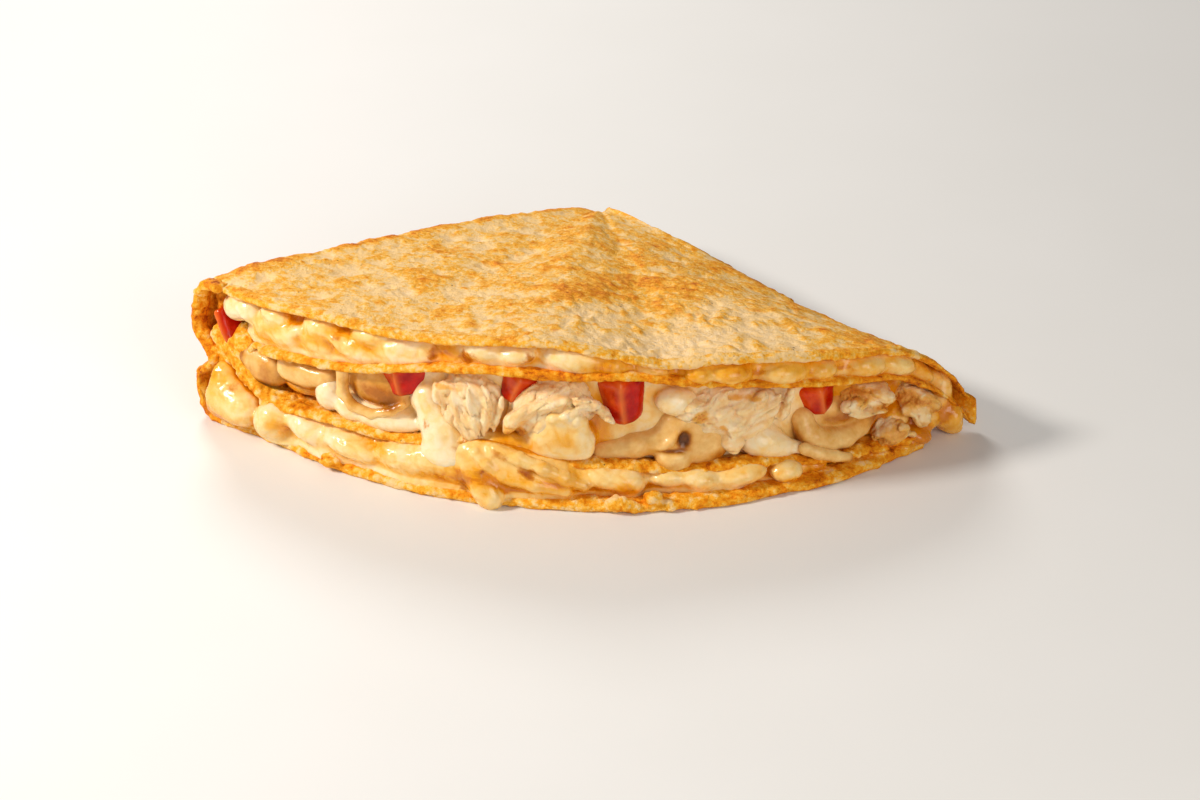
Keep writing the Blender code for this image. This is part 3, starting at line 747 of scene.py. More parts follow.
# Squarer lobes of the middle layer, given the same way.
MIDDLE_SLABS = (
    (-2, 145.8, 17.2, 18, 7, 9, 3),
    (-1.7, 145.6, 22, 13, 7, 10, 0),
)
LOWER_BLOBS = (
    (-44, 146, 8.8, 19, 14, 15, 4),
    (-41.4, 147, 8, 15, 12, 11.6, 6),
    (-44.8, 146, 14.6, 11, 9, 9, -20),
    (-46.6, 149, 8, 9, 7, 10, 0),
    (-48.9, 147, 9.4, 8, 5.4, 3.8, -12),
    (-36.2, 146.5, 9, 11, 11, 10, -12),
    (-36.8, 148.8, 7.6, 8, 7, 9.6, 6),
    (-31.6, 146, 9, 16, 9, 8, 18),
    (-25.6, 147, 8, 20, 9, 7.4, 8),
    (-19.4, 148.4, 8.6, 16, 8, 8, 4),
    (-16, 149, 9.6, 14, 8, 9, 0),
    (-9.8, 146.6, 10.4, 34, 11, 12, 8),
    (-3, 146.8, 9, 22, 10, 9, 16),
    (-13.6, 150, 9, 12, 6, 8, 24, 1.2),
    (-6.4, 148.2, 9.6, 33, 8.4, 12.6, 18),
    (-10, 149.6, 6.4, 13, 8, 10, 40),
    (2.6, 147.4, 7.8, 14, 9, 6.4, 6),
    (5, 148.4, 6.6, 10, 8, 6.8, 10),
    (9.4, 146.4, 6.8, 12, 8, 5.6, 0),
    (12.8, 148, 6, 11, 7.6, 5.8, 12, 1.8),
    (17.2, 148, 5.8, 15, 7.6, 6, -6, 1.8),
    (22.2, 148.8, 5.2, 9.4, 7.4, 6.2, 0, 1.4),
    (26, 145.4, 4, 8, 7, 4.4, 10),
)

# Strands of the molten mass: places (degrees, out, up), first and last radius, softness, in mm.
LOWER_STRINGS = (
    (((-11, 151.4, 15), (-9.8, 152.4, 12.6), (-8.6, 152.6, 10)), 1.5, 1.1, 1.3),
    (((-13, 150.6, 13), (-12, 151.6, 10.8), (-11, 152, 8.4)), 1.5, 1.1, 1.3),
    (((-9, 150.6, 16.2), (-6.4, 151.8, 14.8), (-4, 152.2, 12.4), (-1.6, 151.6, 9.2),
      (0.4, 150.6, 6.4)), 1.9, 1.6, 1.3),
    (((-8, 152, 8.8), (-4.8, 152.4, 7.2), (-1.6, 151.2, 5)), 2.0, 1.6, 1.5),
    (((-11.2, 151, 8), (-10, 152.4, 5), (-9.3, 153, 2.8)), 2.8, 3.8, 2.0),
)

# How golden each layer is along the front, 0 to 1: the cheese's own melt, and the high values
# towards the open side on the right also paint in the shade that falls there.
UPPER_TINT = ((-45, 0.05), (-40, 0.2), (-36, 0.55), (-20, 0.5), (-12, 0.5), (-4, 0.45),
              (4, 0.9), (9, 1.5), (22, 1.5), (33, 1.3), (45, 1.2))
MIDDLE_TINT = ((-40, 0.08), (-20, 0.08), (-10, 0.3), (-6, 0.5), (2, 0.5), (6, 0.3), (12, 0.12),
               (24, 0.2), (32, 0.9), (38, 1.1), (45, 1.3))
LOWER_TINT = ((-50, 0.9), (-40, 0.85), (-36, 0.5), (-20, 0.7), (-12, 1.1), (-1, 1.1),
              (5, 1.0), (22, 1.1), (28, 1.2))

# Golden and brown spots on the cheese: degrees, height, width, tallness and strength. The golden
# spots at the open side, from 36 degrees on, partly paint in the shade there.
UPPER_GOLD = ((-38, 33, 10, 7, 0.4), (-26, 41, 14, 5, 0.4), (-14.6, 41, 9, 6, 0.7),
              (2.8, 40.6, 12, 8, 0.7), (10, 38, 14, 8, 0.3), (17, 38.5, 14, 5, 0.3),
              (25, 35, 12, 8, 0.2), (40, 25, 12, 10, 0.3))
UPPER_BROWN = ((-16.4, 40, 3.4, 4, 1.0), (-12.4, 40.6, 6, 4.4, 1.1), (-5.6, 43, 3, 2.6, 0.8),
               (-27.6, 40.6, 3, 2, 0.6), (9.6, 39.6, 2, 1.6, 0.8), (28, 32, 3, 5, 0.2),
               (34, 30, 4, 2.4, 0.3))
MIDDLE_GOLD = ((-36, 18, 16, 9, 0.9), (-8, 15.4, 12, 6, 0.9), (39, 4, 12, 7, 0.7),
               (44.2, 8, 9, 16, 0.3), (36, 16, 14, 12, 0.15))
MIDDLE_BROWN = ((-16.6, 20, 2.4, 5, 0.5), (-12.4, 16, 6, 4, 0.8), (-7.6, 14.6, 10, 3, 0.8),
                (41, 6, 6, 8, 0.2))
LOWER_GOLD = ((-43, 4, 18, 6, 0.5), (-45, 16, 8, 6, 0.4), (-35, 9, 6, 4, 0.5),
              (-22, 11, 16, 5, 0.3), (-11, 8, 12, 8, 0.2), (-2, 9, 14, 8, 0.3),
              (5, 5.6, 5, 4, 0.6), (22.2, 3, 4, 3, 0.9), (26, 4, 6, 6, 0.8))
LOWER_BROWN = ((-46, 6, 8, 5, 0.9), (-48.6, 9.6, 7, 4, 0.7), (-42, 13.6, 4, 3, 0.6),
               (-10.2, 10.2, 3.4, 2.8, 1.3), (-12.2, 6, 3, 6, 1.1), (-5.4, 11.2, 4, 3, 1.4),
               (-8.4, 15.6, 6, 3, 0.6), (0.6, 6, 5, 4, 0.5))


def make_cheese(name, node, material, span, low, high, blobs, gold, brown, seed, front, tint,
                lean=0.3, rough=0.5, slabs=(), strings=(), lid=None):
    """A layer of melted cheese: a detailed front, and a plain body behind it out of sight."""
    low_s, high_s = ((a * DEGREE * FRONT) for a in span)
    theta = np.linspace(low_s, high_s, 60) / FRONT
    top = float(np.max(high(np.full(60, FRONT), theta))) + 6 * MM
    bottom = max(float(np.min(low(np.full(60, FRONT), theta))) - 6 * MM, -1.2 * MM)
    clay = Clay((low_s - 9 * MM, CHEESE_BACK - FRONT, bottom),
                (high_s + 9 * MM, CHEESE_FORWARD - FRONT, top), CHEESE_STEP)
    s, d = np.meshgrid(clay.axes[0], clay.axes[1], indexing="ij")
    angle, rho = s / FRONT, d + FRONT
    z = clay.axes[2][None, None, :]
    lumps = cheese_noise(stack(s / (5.5 * MM), 0, seed)) * 0.8 * MM
    ceiling, floor = high(rho, angle), low(rho, angle)
    edge = (front(angle) - rho + lumps)[:, :, None] \
        + lean * ((ceiling + floor)[:, :, None] / 2 - z)
    # It reaches a little into both sheets, so that no gap shows along their rims.
    value = smooth_max(z - ceiling[:, :, None] - MM, floor[:, :, None] - 1.2 * MM - z, 0.8 * MM)
    value = smooth_max(value, -edge, 1.6 * MM)
    ends = np.maximum(low_s - s, s - high_s)[:, :, None]
    clay.f = smooth_max(value, ends, 2 * MM).astype(np.float32)
    for blob in blobs:
        clay.blob(*blob[:7], soft=blob[7] if len(blob) > 7 else CHEESE_SOFT)
    for slab in slabs:
        clay.blob(*slab, soft=1.4, power=3.4)
    for places, first, last, soft in strings:
        clay.string(places, first, soft, last)
    if lid:
        # Nothing may show through the sheet above, up to its rim.
        freed = ramp01(rho, *LID_FREE)[:, :, None] * 4 * MM
        clay.f = np.maximum(clay.f, z - lid(rho, angle)[:, :, None] - freed)
    points, quads = clay.mesh()
    p = points / MM
    lump = cheese_noise.layers(p / 5 + seed)
    crease = np.abs(cheese_fine(p / 3.4 + seed))
    fine = cheese_fine.layers(p / 1.6 + seed)
    warp = 1.4 * MM * stack(*(cheese_fine(p / 2.6 + k) for k in (3, 5, 7)))
    baked = np.clip(spots_mask(points + warp, brown), 0, 1)
    height = rough * (0.30 * lump - 0.28 * bell(crease, 0.12)) + 0.05 * fine \
        + baked * (0.15 + 0.3 * np.abs(fine))
    shown = ramp01(points[:, 1], -8 * MM, -4 * MM)
    points = stand_out(points, quads, height * shown)
    # Deeper golden in the hollows between the lumps, paler on the lumps: partly the melt's own
    # glaze, partly painted shade.
    hollow_glaze_and_shade = 0.6 * hollows(points, 10, 1.2) + 0.4 * hollows(points, 5, 0.6)
    golden = tint(points[:, 0] / FRONT) * (0.3 + 1.3 * hollow_glaze_and_shade) + spots_mask(points, gold) \
        + 0.16 * cheese_noise(p / 7 + seed + 50)
    body, faces = cheese_body(span, low, high, seed, len(points))
    pad = np.zeros(len(body))
    masks = {"golden": np.concatenate([golden, pad + 0.5]), "brown": np.concatenate([baked, pad]),
             "crease": np.concatenate([bell(crease, 0.2), pad])}
    new_object(name, np.concatenate([to_world(points), body]), quads.tolist() + faces, [node],
               material, masks)


def cheese_body(span, low, high, seed, count):
    """The plain body behind a layer's front, as in the part, with a lumpy rounded end towards the
    open side. Its faces number its points from count on."""
    rings = []
    last = min(span[1], BODY_END)
    turn_from = last - BODY_ROUND
    r = np.linspace(BODY_FROM, BODY_TO, 15) * MM
    rounded = turn_from + BODY_ROUND * np.sin(np.linspace(0.2, 1.5, 9))
    for a in [*np.linspace(span[0], turn_from, 20), *rounded]:
        turn = ramp01(a, turn_from, last)
        wander = cheese_noise(stack(r / (6 * MM), a / 3, seed))
        angle = a * DEGREE + turn * wander * MM * 1.5 / r
        up, down = high(r, angle), low(r, angle)
        squeeze = np.sqrt(1 - 0.95 * max((a - last + BODY_ROUND) / BODY_ROUND, 0) ** 2)
        middle, half = (up + down) / 2, (up - down) / 2 * squeeze
        rings.append(np.concatenate([place(r, angle, middle + half),
                                     place(r, angle, middle - half)[::-1]]))
    body = np.array(rings)
    n, m = body.shape[:2]
    number = count + np.arange(n * m).reshape(n, m)
    ahead = np.roll(number, -1, axis=1)
    sides = stack(number[:-1], ahead[:-1], ahead[1:], number[1:]).reshape(-1, 4)
    faces = [*sides.tolist(), number[0, ::-1].tolist(), number[-1].tolist()]
    return body.reshape(-1, 3), faces


def hollows(points, reach, depth):
    """0 on lumps that stand out of the front by a depth, 1 in hollows as deep, in mm."""
    flat = points[:, [0, 2]]
    cell = np.floor((flat - flat.min(axis=0)) / CHEESE_STEP).astype(int)
    shown = points[:, 1] > -9 * MM
    total, count = (np.zeros(cell.max(axis=0) + 1) for _ in range(2))
    np.add.at(total, tuple(cell[shown].T), points[shown, 1] / MM)
    np.add.at(count, tuple(cell[shown].T), 1)
    weights = bell(np.arange(-reach, reach + 1), 0.55 * reach)
    for axis in (0, 1):
        total, count = (np.apply_along_axis(np.convolve, axis, grid, weights, "same")
                        for grid in (total, count))
    around = total / np.maximum(count, 1e-6)
    return ramp01(around[tuple(cell.T)] - points[:, 1] / MM, -depth, depth)


def make_cheeses(material):
    """The three layers, each between the skins of its sheets."""
    room = 2 * GAP

    def upper_low(rho, theta):
        return under_upper_pair(rho, theta) + SHEET + room

    def upper_high(rho, theta):
        return top_of_wrap(rho, theta) - SHEET - room

    def middle_low(rho, theta):
        return over_lower_pair(rho, theta) + room

    def middle_high(rho, theta):
        return under_upper_pair(rho, theta) - room

    def lower_low(rho, theta):
        return SHEET + room + 0 * rho + 0 * theta

    def upper_lid(rho, theta):
        return top_of_wrap(rho, theta) - LID_DEPTH

    def lower_high(rho, theta):
        return over_lower_pair(rho, theta) - SHEET - room

    def layer(part, front, tint, *rest, **options):
        make_cheese(f"cheese_{part}_melt", f"cheese_{part}", material, *rest,
                    front=smooth_curve(front), tint=smooth_curve(tint, y_unit=1), **options)

    layer("upper", UPPER_FRONT, UPPER_TINT, (-42.5, 45), upper_low, upper_high, UPPER_BLOBS,
          UPPER_GOLD, UPPER_BROWN, 1, lid=upper_lid)
    layer("middle", MIDDLE_FRONT, MIDDLE_TINT, (-36.5, 41.5), middle_low, middle_high,
          MIDDLE_BLOBS, MIDDLE_GOLD, MIDDLE_BROWN, 2, lean=0, rough=0.3, slabs=MIDDLE_SLABS)
    layer("lower", LOWER_FRONT, LOWER_TINT, (-41.5, 28), lower_low, lower_high, LOWER_BLOBS,
          LOWER_GOLD, LOWER_BROWN, 3, strings=LOWER_STRINGS)


# ---------------------------------------------------------------- the pinched fold

# The crushed end of the folds at the left, between the outer fold and the mouth, in blobs.
PINCHED = (
    (-45.6, 141.5, 25.4, 9, 10, 9, 0),
    (-43.4, 140.5, 23, 13, 13, 12, 10),
    (-41, 141, 18.4, 13, 13, 11, 30),
    (-45.4, 142.5, 18.4, 7, 10, 8, 0),
    (-38.4, 142.6, 14.8, 13, 11, 5, 26),
    (-34.6, 143, 13, 14, 10, 3.4, 12),
    (-41.4, 142.6, 25.8, 9, 8, 5, 24),
    (-46.2, 139.6, 34.6, 6, 9, 11, 0),
    (-48.2, 144.6, 20.6, 5, 8, 5, 0),
    (-50, 147.6, 16.2, 8, 5, 3.4, -14),
)
crust_noise, crust_fine = Noise(71), Noise(72)


def crumble(points, quads, rough):
    """Moves a crust's points in and out: lumps, crumbs and grit. Returns its relief too."""
    p = points / MM
    away, number = crust_noise.cells(p / 2.6)
    crumb = (number % 3 < 2) * np.clip(1 - (away / 0.55) ** 2, 0, 1)
    height = 0.6 * crust_noise.layers(p / 4.6) + 0.5 * crumb + 0.3 * crust_fine(p / 1.5)
    # The relief it returns is the crag mask, which the material turns into painted shade and
    # painted highlight.
    return stand_out(points, quads, rough * height), 0.5 + 0.5 * np.clip(height / 1.2, -1, 1)


def make_fold_lip(material):
    """The crumbly rim of the outer fold, from the top lip down to the bottom one."""
    turn = np.linspace(0, math.pi, 90)
    high = float(top_of_wrap(FRONT, OUTER_FOLD)) - SHEET / 2
    level = np.sign(np.cos(turn)) * np.abs(np.cos(turn)) ** 0.8
    z = (high + SHEET / 2) / 2 + (high - SHEET / 2) / 2 * level
    pinch = PINCH_DEPTH * bell(z - PINCH_HEIGHT, PINCH_REACH)
    push = (OUTER_BULGE * 1.05 - SHEET / 2) * np.sin(turn) ** 0.55 - pinch
    s = OUTER_FOLD * FRONT - np.clip(push, -2 * MM, None)
    clay = Clay((s.min() - 4 * MM, -7 * MM, -1.2 * MM),
                (s.max() + 4 * MM, 5 * MM, high + 4 * MM), LIP_STEP)
    across, up = np.meshgrid(clay.axes[0], clay.axes[2], indexing="ij")
    away = np.min(np.hypot(across[..., None] - s, up[..., None] - z), axis=-1)
    line = stack(up / MM, 0, 0)
    ragged = 1.2 * crust_noise(line / 5 + 60) + 0.8 * crust_noise(line / 2.2 + 67)
    out = clay.axes[1][None, :, None] + (1.6 - ragged[:, None, :]) * MM
    rope = np.sqrt((out / 2.8) ** 2 + (away[:, None, :] / (1.5 + 0.3 * ragged[:, None, :])) ** 2)
    clay.f = ((rope - MM) * 1.5).astype(np.float32)
    points, quads = clay.mesh()
    points, crag = crumble(points, quads, 0.9)
    toast = 0.62 + 0.5 * crust_fine.layers(points / MM / 4 + 15)
    new_object("tortilla_lip_fold", to_world(points), quads, [], material,
               {"toast": toast, "crag": crag})


def make_pinched_fold(material):
    """The crumbly golden end where the folds are pressed together."""
    clay = Clay(to_front(-54, 131, 9), to_front(-29, 152, 42), PIECE_STEP)
    for blob in PINCHED:
        clay.blob(*blob, soft=2.6)
    points, quads = clay.mesh()
    points, crag = crumble(points, quads, 1.0)
    p = points / MM
    toast = 0.46 + 0.4 * crust_fine.layers(p / 4 + 5) + 0.2 * crust_noise(p / 9)
    new_object("tortilla_pinched_end", to_world(points), quads, [], material,
               {"toast": toast, "crag": crag})


# The crumbly lips along the cut rims: the stretch of the loop that they lie on, first and last
# degree, then how wide and thick they are, how far they stand out and how rough, in mm.
LIPS = {
    "tortilla_lip_top": (TOP, -44, 43, 5, 2.3, 0.5, 0.55),
    "tortilla_lip_second": (SECOND, -38, 43, 5, 2.3, 0.6, 0.55),
    "tortilla_lip_third": (THIRD, -38, 39, 6, 2.6, 0.7, 0.8),
    "tortilla_lip_bottom": (BOTTOM, -45, 39.5, 8, 3.2, 0.4, 0.9),
}
# Crumbs stuck to the bottom rim, as blobs.
LIP_CRUMBS = ((4, 153.6, 2.6, 7, 6, 4, 0), (5.4, 154, 1.6, 5, 4, 3, 20),
              (7.4, 153.2, 4, 5, 4, 3.4, 0), (-28, 150, 3, 6, 5, 3.4, 10))


def make_lip(name, material, kind, start, end, wide, thick, stands, rough):
    """A lumpy rope of baked crust around the rim of one sheet."""
    def middle(theta):
        if kind == BOTTOM:
            return bottom_rim(theta), np.full_like(theta, thick * 0.42 * MM)
        rho = np.full_like(theta, RIM_RADII[Sheet.names[kind]] * MM)
        if kind == TOP:
            return rho, top_of_wrap(rho, theta) - SHEET / 2 - 0.3 * MM
        if kind == THIRD:
            return rho, over_lower_pair(rho, theta) - SHEET / 2 + 0.2 * MM
        return rho, under_upper_pair(rho, theta) + SHEET / 2 + 0.1 * MM

    reach, height = middle(np.linspace(start, end, 60) * DEGREE)
    clay = Clay((start * DEGREE * FRONT - 4 * MM, reach.min() - FRONT - (wide + 3) * MM,
                 max(height.min() - 5 * MM, -1.2 * MM)),
                (end * DEGREE * FRONT + 4 * MM, reach.max() - FRONT + 5 * MM,
                 height.max() + 5 * MM), LIP_STEP)
    s, d = np.meshgrid(clay.axes[0], clay.axes[1], indexing="ij")
    z = clay.axes[2][None, None, :]
    rho, level = middle(s / FRONT)
    line = stack(s / MM, kind * 31, 0)
    ragged = 0.9 * crust_noise(line / 6) + 0.6 * crust_noise(line / 2.3 + 7)
    swell = 1 + 0.35 * crust_fine(line / 9 + 3)
    out = d - (rho - FRONT) - (stands + rough * ragged - wide / 2) * MM
    out, level, swell = out[:, :, None], level[:, :, None], swell[:, :, None]
    ends = np.maximum(start * DEGREE * FRONT - s, s - end * DEGREE * FRONT)[:, :, None]
    rope = (np.sqrt((out / (wide / 2)) ** 2 + ((z - level) / (thick / 2 * swell)) ** 2)
            - MM) * thick / 2
    clay.f = smooth_max(rope, ends, 1.5 * MM).astype(np.float32)
    if kind == BOTTOM:
        for blob in LIP_CRUMBS:
            clay.blob(*blob, soft=1.0)
    points, quads = clay.mesh()
    points, crag = crumble(points, quads, rough)
    world = to_world(points)
    degrees = points[:, 0] / FRONT / DEGREE
    toast = toasting(world / MM, degrees, 1.0 + 0 * degrees, np.full(len(points), kind), 1.0)
    new_object(name, world, quads, [], material, {"toast": toast, "crag": crag})


# ---------------------------------------------------------------- chicken, mushroom, tomato

# Chunks of chicken: degrees, out, up, width, depth, height, tilt, seed, then the fibres' tilt and
# how brown it is.
CHICKEN = {
    "chicken_left": (-12.4, 138.5, 25.6, 20, 20, 21, 16, 3, 68, 0.15),
    "chicken_middle": (-3.4, 138, 25.2, 26, 21, 22, -12, 8, -35, 0.25),
    "chicken_right": (16.2, 138.5, 23.4, 35, 19, 16, 4, 21, -20, 0.35),
    "chicken_far_right": (33.2, 138.5, 18.6, 17, 18, 10, 4, 30, 10, 0.6),
    "chicken_end": (40, 141.6, 12.6, 13, 14, 10, 32, 41, 40, 0.8),
    "chicken_scrap": (35.8, 145, 7.4, 11, 11, 7, -14, 52, 0, 0.85),
}
# Loose strands and flakes on a piece: degrees, out, up, length, width, height, tilt.
STRANDS = {
    "chicken_left": ((-15.2, 146.6, 27.5, 12, 3.4, 3, 70), (-13.4, 147.6, 26, 13, 3.2, 2.8, 76),
                     (-11.6, 147.8, 25.5, 14, 3, 2.6, 80), (-10.2, 147, 24, 12, 3, 2.4, 96),
                     (-9, 146, 24.4, 13, 2.6, 2.6, 104), (-12.6, 147.2, 20, 7, 3, 3, 60),
                     (-14.8, 146.4, 31.4, 6, 4, 4, 0)),
    "chicken_middle": ((-6.4, 147, 26.8, 12, 4, 3.4, -38), (-3.4, 147.2, 29.6, 13, 5, 3.4, -22),
                       (0.6, 147, 30, 9, 5, 4, 14), (2.6, 146.6, 26.2, 9, 5, 3.4, 44),
                       (-7.4, 147, 22.2, 7, 4, 3, -50), (-1, 147.4, 27, 8, 4, 4, 0)),
    "chicken_right": ((12.4, 146, 26.6, 9, 5, 6, 10), (15, 146.6, 24.2, 9, 4, 5, -30),
                      (18.6, 146.4, 25.6, 10, 5, 4.4, -44), (20.8, 145.8, 22.8, 12, 4, 3.4, -62),
                      (22.6, 145.4, 24.4, 11, 3.4, 2.8, -70), (16.6, 146.8, 20, 8, 4, 5, 30),
                      (11.2, 145.6, 24, 7, 4, 3, 20), (16.6, 144.8, 16.4, 8, 6, 9, 10),
                      (18.2, 145, 18.4, 9, 5, 7, -20)),
    "chicken_far_right": ((31, 146.4, 19.4, 9, 5, 4, 0), (34.4, 146.4, 20, 8, 5, 4, 24),
                          (32.4, 147, 16.6, 14, 5, 2.6, 6)),
    "chicken_end": ((38.2, 147, 13, 8, 5, 5, 30), (41, 147.6, 13.4, 8, 4, 4, 50),
                    (39.6, 147.6, 9.4, 7, 5, 5, 10)),
    "chicken_scrap": ((35.6, 148, 7, 6, 5, 3.4, -10), (38, 147.6, 6, 5, 4, 3, 20)),
}
# Browned places on a piece: degrees, height, width, tallness and strength.
BROWNED = {
    "chicken_left": ((-14.6, 32, 12, 2.4, 0.6), (-10, 16, 6, 4, 0.8)),
    "chicken_middle": ((-7.4, 19, 8, 7, 1.0), (-5.8, 24, 5, 3, 0.4), (2.8, 22.6, 6, 5, 0.6),
                       (-3, 28, 5, 3, 0.3)),
    "chicken_right": ((12.8, 25, 6, 6, 0.8), (17.4, 28.6, 12, 2.4, 0.6), (15.4, 21, 6, 3, 0.3)),
    "chicken_far_right": ((32.4, 21.4, 12, 4, 0.6), (35, 17, 6, 4, 0.4)),
    "chicken_end": ((39.4, 15, 8, 4, 0.5), (41.4, 10, 5, 4, 0.4)),
    "chicken_scrap": ((36.4, 8.4, 5, 3, 0.5), (34.4, 5.6, 4, 3, 0.5)),
}
meat, meat_fine = Noise(41), Noise(42)


def make_chicken(name, material, theta, rho, z, width, depth, height, tilt, seed, grain, brown):
    """A torn chunk of breast meat, with its fibres, pits and ragged strands."""
    clay = Clay.around(theta, rho, z, width, depth, height, PIECE_STEP, room=4)
    p = clay.grid()
    centre = to_front(theta, rho, z)
    q = (p - centre) @ turned(tilt).T
    half = np.array([width, depth, height]) * 0.49 * MM
    body = (np.sum(np.abs(q / half) ** 2.6, axis=-1) ** (1 / 2.6) - 1) * half.min()
    clay.add(body, soft=0.5)
    for strand in STRANDS[name]:
        clay.blob(*strand, soft=0.9)
    rows = turned(grain, 0, 12)
    g = (p - centre) @ rows.T / MM
    bend = 1.6 * stack(0, meat_fine(g / 7 + seed), meat_fine(g / 7 + seed + 9))
    fibres = meat((g + bend) / (9, 2.4, 2.2) + seed)
    tears = np.abs(meat_fine((g + bend) / (9, 3.2, 2.6) + seed))
    threads = meat_fine((g + bend) / (6, 1.1, 1.0) + seed + 30)
    lumps = meat.layers(g / 7.5 + seed + 60)
    clay.f += ((1.4 * np.clip(lumps, -1, 0.5) + 0.45 * fibres + 0.25 * threads
                + 0.6 * bell(tears, 0.07)) * MM).astype(np.float32)
    points, quads = clay.mesh()
    v = (points - centre) @ rows.T / MM
    points = stand_out(points, quads, meat_fine(v / (4, 0.7, 0.7) + seed) * 0.10)
    # The pit mask follows the torn grooves between the fibres; the material paints them a darker
    # tan as shade.
    pit = bell(meat_fine(v / (9, 3.2, 2.6) + seed), 0.12)
    low = ramp01(-(points[:, 2] - centre[2]) / (height * MM), -0.1, 0.5)
    patches = meat.layers(v / 5 + seed + 11)
    toasted = brown * 0.6 + 0.45 * patches + 0.15 * low * (brown > 0.2) - 0.15 \
        + spots_mask(points, BROWNED[name])
    masks = {"brown": ramp01(toasted, 0.1, 0.75), "pit": pit,
             "pale": ramp01(meat.layers(v / (8, 1.6, 1.6) + seed + 3), -0.2, 0.6)}
    new_object(name + "_torn", to_world(points), quads, [name], material, masks)


# Pieces of tomato: degrees, out, up, width, depth, height and tilt.
TOMATO = {
    "tomato_fold": (-44.6, 143.6, 29.4, 3.8, 6.5, 10.5, -34),
    "tomato_left": (-20, 142.6, 30.4, 25, 9, 9, -14),
    "tomato_middle": (-7, 140, 31.6, 13, 11, 9, 20),
    "tomato_wedge": (4.6, 141, 29.4, 16, 12, 14.4, -6),
    "tomato_right": (27.2, 140, 22.4, 13.5, 11, 9, -10),
}
flesh = Noise(51)


def make_tomato(name, material, theta, rho, z, width, depth, height, tilt):
    """A diced piece: a block that narrows downwards, with soft edges, a ridge and wet hollows."""
    clay = Clay.around(theta, rho, z, width, depth, height, PIECE_STEP)
    p = clay.grid()
    centre = to_front(theta, rho, z)
    q = (p - centre) @ turned(tilt).T / MM
    narrow = 1 - 0.35 * (0.5 - q[..., 2] / height)
    half = stack(width / 2 * narrow, depth / 2, height / 2)
    # The front face is folded along a ridge a little right of its middle.
    ridge = 0.6 * np.abs(q[..., 0] + 0.04 * width)
    q[..., 1] = q[..., 1] + ridge
    corner = 0.16 * min(width, height) + 0.5
    away = np.abs(q) - (half - corner)
    outside = np.linalg.norm(np.maximum(away, 0), axis=-1)
    value = (outside + np.minimum(away.max(axis=-1), 0) - corner) * MM
    value = value + 0.35 * MM * flesh.layers(p / MM / 5)
    clay.add(value, soft=0.3)
    points, quads = clay.mesh()
    v = points / MM
    points = stand_out(points, quads, 0.10 * flesh.layers(v / 1.8))
    own = (points - centre) @ turned(tilt).T / MM
    inner = ramp01(own[:, 2] / height + 0.5 * flesh.layers(v / 4) - own[:, 0] / width, -0.1,
                   0.5)
    # The ridge mask marks the fold of the front face, where the material paints a highlight.
    masks = {"inner": inner, "ridge": bell(own[:, 0] + 0.04 * width, 0.9)}
    new_object(name + "_dice", to_world(points), quads, [name], material, masks)


fungus = Noise(61)
